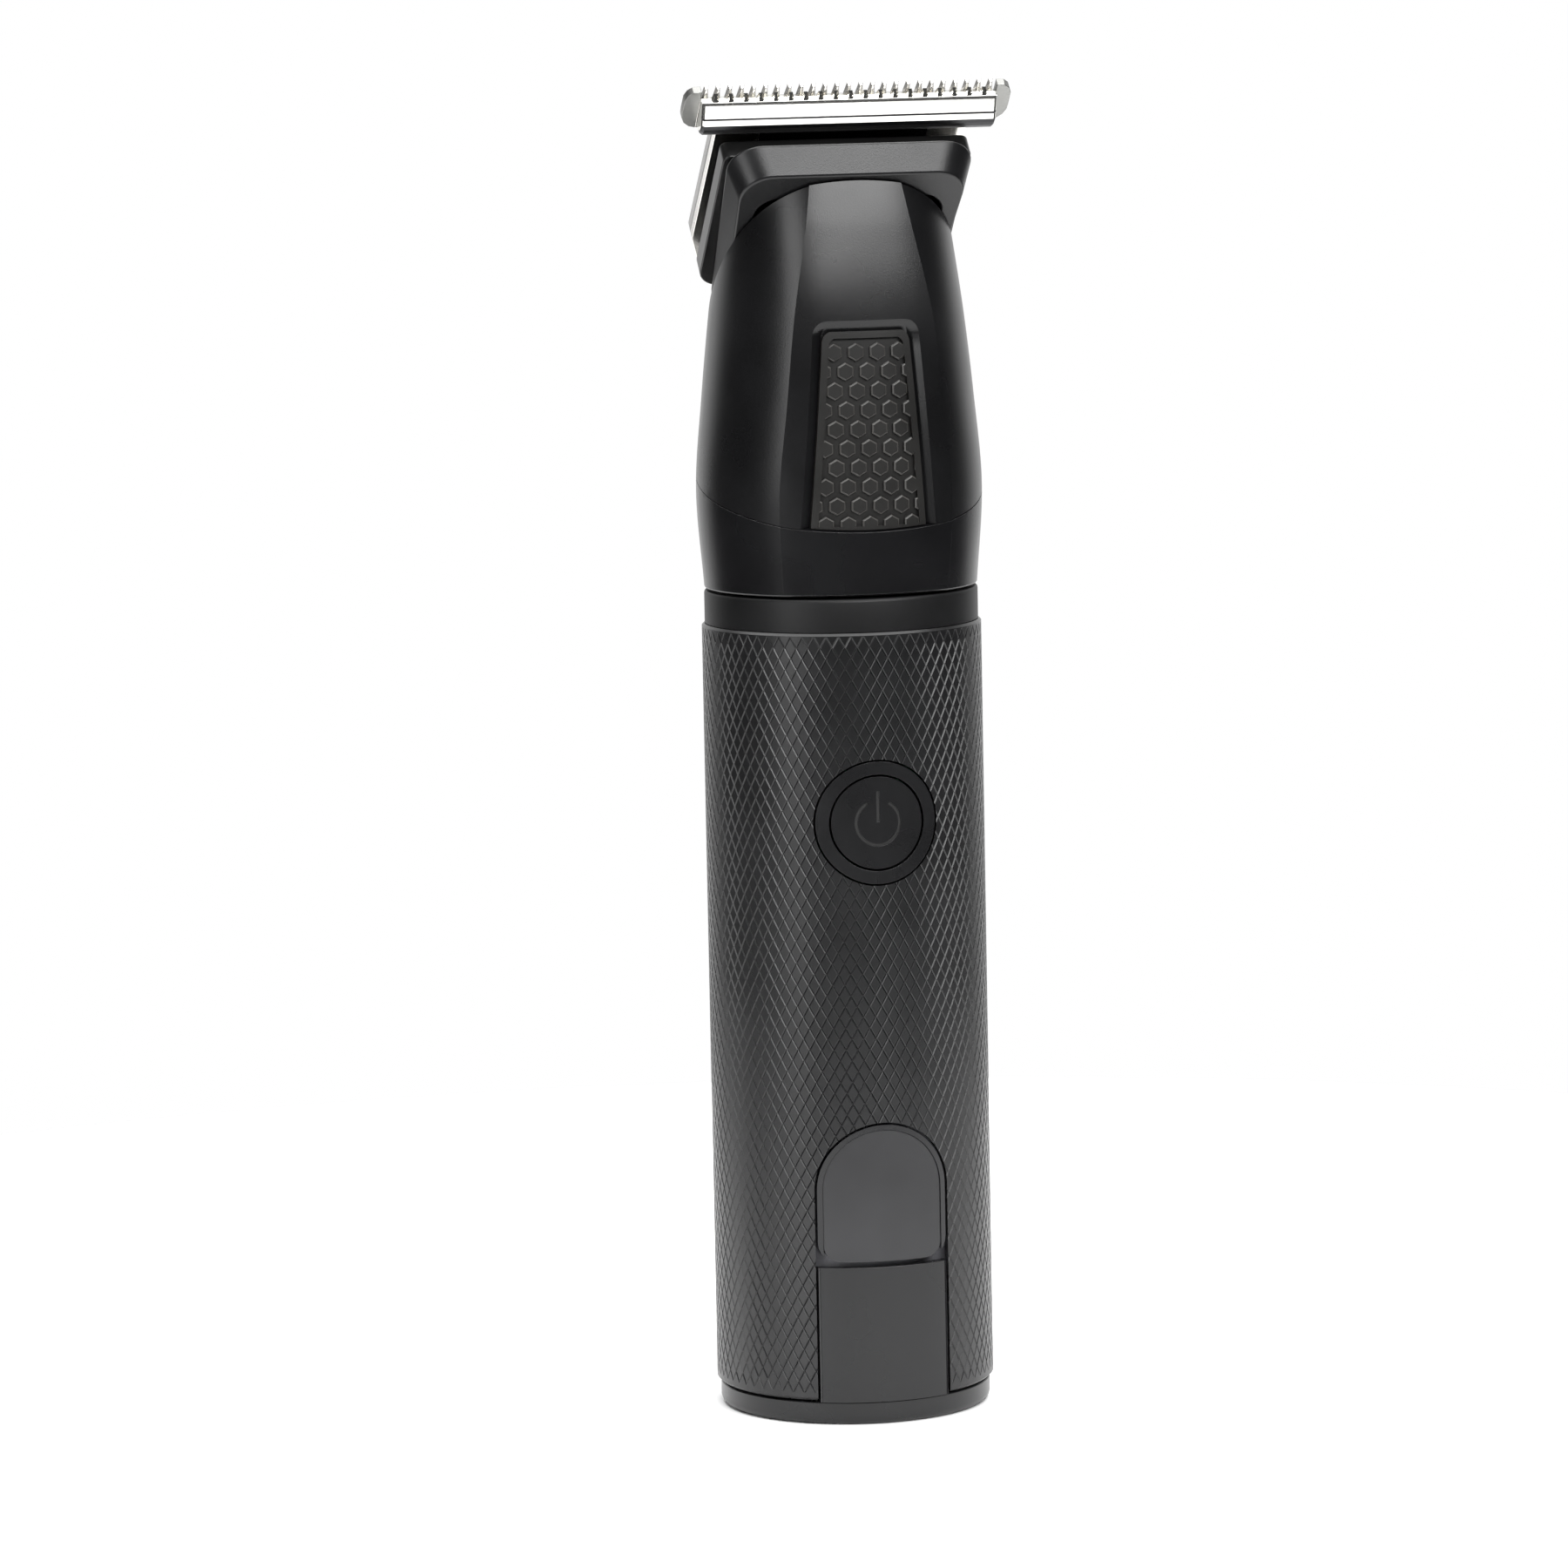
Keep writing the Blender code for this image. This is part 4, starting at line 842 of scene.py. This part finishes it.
def build_blade_base():
    """Black moulding between rail and blades, open in the middle for the cutter's carrier."""
    base = make("base_block", *plate_w(plate_outline(14.8, 88.2, 110.4, 2.5, 1.0), *BASE_W), BASE_BLACK, "head",
                ("blade_base",), "blade_base_black")
    carve(base, [helper(*plate_w(plate_outline(6.0, 92.1, 107.2, 1.0, 1.0, 4), 90.0, 110.0))]
          + screw_holes(100.2))
    finish_surface(base, 30.0, 0.15, 2)


def mirrored(half):
    """Whole outline from its right half."""
    return [(-x, t) for x, t in half[::-1]] + half


def joined(verts, faces, more_verts, more_faces):
    """One mesh from two."""
    return verts + more_verts, faces + [tuple(i + len(verts) for i in face) for face in more_faces]


def tooth(left, width, root, tip, w_in, w_out, tip_in, draw):
    """One ground tooth: ridge on its inner face, thinning to the tip; draw narrows the tip on each side."""
    right = left + width
    mid = left + width / 2.0
    ridge = width * 0.16
    crest = ridge * 0.7
    shoulder = w_in + (w_out - w_in) * 0.35
    places = ((left, root, w_out), (right, root, w_out), (right - draw, tip, w_out), (left + draw, tip, w_out),
              (left + ridge, root, w_in), (right - ridge, root, w_in), (mid + crest, tip - 0.25, tip_in),
              (mid - crest, tip - 0.25, tip_in), (left, root, shoulder), (right, root, shoulder))
    faces = [(0, 1, 2, 3), (4, 7, 6, 5), (0, 3, 7, 4, 8), (1, 9, 5, 6, 2), (3, 2, 6, 7), (0, 8, 4, 5, 9, 1)]
    return [tilted(x, t, w) for x, t, w in places], faces


def build_fixed_blade():
    """T blade: a wide plate with rounded grey ends and a row of teeth."""
    outline = mirrored([(14.0, 88.0), (15.2, 91.8), (15.0, 110.9), (17.6, 110.9), (17.6, 115.0)])
    shape = plate_w(outline, *FIXED_W)
    end = [(17.58, 110.9), (18.4, 111.15), (19.05, 111.75), (19.4, 112.6), (19.45, 113.4), (19.42, 115.4),
           (19.1, 116.2), (18.5, 116.7), (17.58, 116.75)]
    for side in (end, [(-x, t) for x, t in end[::-1]]):
        shape = joined(*shape, *plate_w(side, *FIXED_W))
    width = 0.91
    for k in range(FIXED_TEETH):
        left = FIXED_PITCH * (k - FIXED_TEETH / 2.0) + (FIXED_PITCH - width) / 2.0
        shape = joined(*shape, *tooth(left, width, 114.9, 116.9, FIXED_W[0] + 0.05, FIXED_W[1], 104.1, 0.2))
    fixed = make("blade_fixed", *shape, STEEL, "head", ("fixed_blade",), "fixed_blade_steel", weld=False)
    finish_surface(fixed, 30.0, 0.06, 2)
    fixed.data.materials.append(CORNER)
    for face in fixed.data.polygons:
        if min(abs(fixed.data.vertices[i].co.x) for i in face.vertices) > 17.5 * MM:
            face.material_index = 1


def build_moving_blade():
    """Reciprocating cutter: plate, ground bar with two bright bands, teeth."""
    shape = plate_w(mirrored([(10.0, 99.0), (10.0, 111.6), (17.5, 111.6), (17.5, 115.4)]), *MOVING_W)
    # t and w round the bar, from its upper edge down over the two bands to the lower edge, which is painted
    # dark as shade
    profile = [(115.85, 103.45), (115.85, 102.75), (115.65, 102.45), (114.25, 101.72), (114.2, 101.86),
               (114.1, 101.82), (114.05, 101.6), (113.45, 101.32), (112.95, 101.24), (112.4, 101.32),
               (111.8, 101.6), (111.45, 102.05), (111.35, 102.5), (111.35, 103.45)]
    loops = []
    for x, draw in ((-17.53, 0.35), (-17.42, 0.12), (-17.2, 0.0), (17.2, 0.0), (17.42, 0.12), (17.53, 0.35)):
        loops.append([tilted(x, t + draw * (t < 113.0), w + draw * (w < 102.6)) for t, w in profile])
    shape = joined(*shape, *skin(loops))
    width = 1.07
    for k in range(MOVING_TEETH):
        left = MOVING_PITCH * (k - MOVING_TEETH / 2.0) + (MOVING_PITCH - width) / 2.0
        shape = joined(*shape, *tooth(left, width, 115.6, 116.6, 102.6, MOVING_W[1], 103.2, 0.3))
    moving = make("blade_moving", *shape, POLISHED, "cutter", ("moving_blade",), "moving_blade_steel",
                  weld=False)
    finish_surface(moving, 12.0, 0.0, 2)
    # painted shade: the lower edge and the groove between the bands are painted dark steel, where shade falls
    moving.data.materials.append(CUTTER_SHADE)
    for face in moving.data.polygons:
        spot = face.center / MM
        t = (spot.z - spot.y) / ROOT2
        w = (spot.z + spot.y) / ROOT2
        if t < 113.5 and w < 103.5 or 114.06 < t < 114.24 and w < 102.0:
            face.material_index = 1


def build_retainer():
    """Steel plate on the back of the blades, with holes for the two screws."""
    outline = mirrored([(14.0, 88.0), (15.2, 91.8), (15.0, 112.1), (12.5, 113.4)])
    retainer = make("retainer_plate", *plate_w(outline, *RETAINER_W), RETAINER, "head", ("blade_retainer",),
                    "retainer_steel")
    carve(retainer, screw_holes(103.0))
    finish_surface(retainer, 30.0, 0.15, 2)


build_sleeve()
build_window()
build_button()
build_end_cap()
build_neck()
build_collar()
build_shell()
build_pad()
build_rail()
build_blade_base()
build_fixed_blade()
build_moving_blade()
build_retainer()

# ------------------------------------------------------------------ carried-over CAD nodes

GOLD = metal("contact_gold_plate", (0.83, 0.62, 0.28), 0.22, grain=4000.0)
SCREW = metal("screw_zinc", (0.55, 0.55, 0.56), 0.3, grain=5000.0)
NICKEL = metal("nickel_strip", (0.62, 0.6, 0.56), 0.32, stretch=(1.0, 8.0, 1.0))
CAN = metal("motor_zinc", (0.55, 0.55, 0.55), 0.33, stretch=(8.0, 8.0, 1.0))
COPPER = metal("winding_copper", (0.66, 0.3, 0.14), 0.35, stretch=(1.0, 1.0, 14.0), grain=4000.0, depth=0.05)
BRONZE = metal("sintered_bronze", (0.5, 0.34, 0.16), 0.45, grain=9000.0, depth=0.02)
GROUND = metal("ground_steel", (0.62, 0.62, 0.63), 0.2, stretch=(6.0, 6.0, 1.0))
SPRING = metal("spring_leaf", (0.58, 0.58, 0.6), 0.26, stretch=(10.0, 1.0, 1.0))
NYLON = plastic("nylon_white", (0.78, 0.78, 0.75), 0.45, grain=3000.0, depth=0.01, vary=0.04)
NYLON_GREY = plastic("nylon_dark", (0.11, 0.11, 0.12), 0.55, grain=3000.0, depth=0.02)
BOARD = plastic("solder_mask", (0.015, 0.15, 0.06), 0.35, grain=2500.0, depth=0.01, vary=0.2)
CHIP = plastic("epoxy_black", (0.02, 0.02, 0.02), 0.5, grain=6000.0, depth=0.01)
WRAP = plastic("cell_wrap", (0.03, 0.18, 0.4), 0.28, grain=700.0, depth=0.02, vary=0.1)
FERRITE = plastic("ferrite_grey", (0.06, 0.06, 0.062), 0.6, grain=5000.0, depth=0.03)
CLEAR = plastic("guide_clear", (0.75, 0.78, 0.8), 0.12, grain=900.0, depth=0.005, vary=0.05)
LED = plastic("led_lens", (0.8, 0.82, 0.66), 0.2, grain=900.0, depth=0.005, vary=0.08)
SEAL = plastic("seal_rubber", (0.015, 0.015, 0.015), 0.62, grain=3000.0, depth=0.02)

SURFACES = {
    GOLD: ("charge_contact_left", "charge_contact_right"),
    SCREW: ("end_cap_screw_front", "end_cap_screw_back", "motor_screw_left", "motor_screw_right",
            "blade_screw_left", "blade_screw_right"),
    CLEAR: ("light_guide",),
    LED: ("indicator_led_left", "indicator_led_right"),
    BOARD: ("circuit_board",),
    CHIP: ("control_chip", "tact_switch_base"),
    NYLON: ("tact_switch_plunger", "motor_end_bell", "eccentric_cam", "drive_rocker", "cutter_carrier"),
    NYLON_GREY: ("chassis_front", "chassis_rear", "motor_mount", "rocker_frame"),
    WRAP: ("battery_cell",),
    NICKEL: ("battery_tab_positive", "battery_tab_negative"),
    CAN: ("motor_can",),
    FERRITE: ("motor_magnet_left", "motor_magnet_right"),
    BRONZE: ("motor_bush",),
    SEAL: ("neck_o_ring",),
    COPPER: ("motor_armature",),
    GROUND: ("motor_shaft", "eccentric_pin", "rocker_pin"),
    SPRING: ("pressure_spring",),
}
for surface, nodes in SURFACES.items():
    for node in nodes:
        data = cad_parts[node].data
        data.materials.clear()
        data.materials.append(surface)
        data.shade_smooth()
        data.set_sharp_from_angle(angle=math.radians(32.0))

# ------------------------------------------------------------------ stage, light, camera

AIM = Vector((0.0, 0.0, 0.1))
FLOOR_R = 230.0


def stage_floor():
    """Round pale floor."""
    made, tree, shader = new_material("studio_white")
    field = noise(tree, 6.0, 2.0)
    tree.links.new(tint(tree, field.outputs["Fac"], (0.9, 0.9, 0.9), (0.94, 0.94, 0.94)),
                   shader.inputs["Base Color"])
    shader.inputs["Roughness"].default_value = 0.7
    verts = [(x, y, 0.0) for x, y in circle(FLOOR_R, 128)]
    floor = make("studio_floor", verts, [tuple(range(len(verts)))], made, None)
    floor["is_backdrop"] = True


def soft_light(name, place, width, height, power):
    """White rectangle lamp, sizes and place in metres, turned towards the trimmer."""
    data = bpy.data.lights.new(name, "AREA")
    data.shape = "RECTANGLE"
    data.size = width
    data.size_y = height
    data.energy = power
    obj = bpy.data.objects.new(name, data)
    bpy.context.scene.collection.objects.link(obj)
    obj.location = place
    obj.rotation_euler = (AIM - Vector(place)).to_track_quat("-Z", "Y").to_euler()




def studio_world():
    """Bright behind the trimmer, dim in front, so black plastic keeps dark faces and bright edges."""
    world = bpy.data.worlds.new("studio")
    bpy.context.scene.world = world
    world.use_nodes = True
    tree = world.node_tree
    where = tree.nodes.new("ShaderNodeTexCoord")
    along = tree.nodes.new("ShaderNodeVectorMath")
    along.operation = "DOT_PRODUCT"
    along.inputs[1].default_value = (0.235, 0.972, 0.0)
    tree.links.new(where.outputs["Generated"], along.inputs[0])
    ramp = tree.nodes.new("ShaderNodeMapRange")
    ramp.interpolation_type = "SMOOTHSTEP"
    ramp.inputs["From Min"].default_value = 0.45
    ramp.inputs["From Max"].default_value = 0.85
    ramp.inputs["To Min"].default_value = 0.06
    ramp.inputs["To Max"].default_value = 1.05
    tree.links.new(along.outputs["Value"], ramp.inputs["Value"])
    seen = tree.nodes.new("ShaderNodeLightPath")
    mix = tree.nodes.new("ShaderNodeMix")
    tree.links.new(seen.outputs["Is Camera Ray"], mix.inputs["Factor"])
    tree.links.new(ramp.outputs["Result"], mix.inputs["A"])
    mix.inputs["B"].default_value = 1.0
    tree.links.new(mix.outputs["Result"], tree.nodes["Background"].inputs["Strength"])
    tree.nodes["Background"].inputs["Color"].default_value = (1.0, 1.0, 1.0, 1.0)


def photo_camera():
    """Camera at the photograph's distance, height and angle."""
    distance = 0.870
    height = 0.1838
    turn = math.radians(13.6)
    pitch = math.radians(-7.2)
    roll = math.radians(-1.13)
    data = bpy.data.cameras.new("camera")
    data.lens = 170.5
    data.sensor_width = 36.0
    data.clip_end = 20.0
    camera = bpy.data.objects.new("camera", data)
    bpy.context.scene.collection.objects.link(camera)
    place = Vector((-distance * math.sin(turn), -distance * math.cos(turn), height))
    heading = math.atan2(-place.y, -place.x) + math.radians(0.47)
    level = math.cos(pitch)
    forward = Vector((math.cos(heading) * level, math.sin(heading) * level, math.sin(pitch)))
    look = forward.to_track_quat("-Z", "Y").to_matrix().to_4x4()
    camera.matrix_world = Matrix.Translation(place) @ look @ Matrix.Rotation(roll, 4, "Z")
    bpy.context.scene.camera = camera
    bpy.context.scene.view_settings.view_transform = "Standard"


stage_floor()
soft_light("key_left", (-1.15, -0.75, 0.45), 0.5, 1.1, 8.0)
soft_light("front_high", (0.25, -0.95, 0.78), 1.1, 0.42, 16.0)
soft_light("top_box", (0.0, 0.1, 1.3), 1.7, 1.7, 36.0)
studio_world()
photo_camera()

{"frame": size_before, "built": measure()}
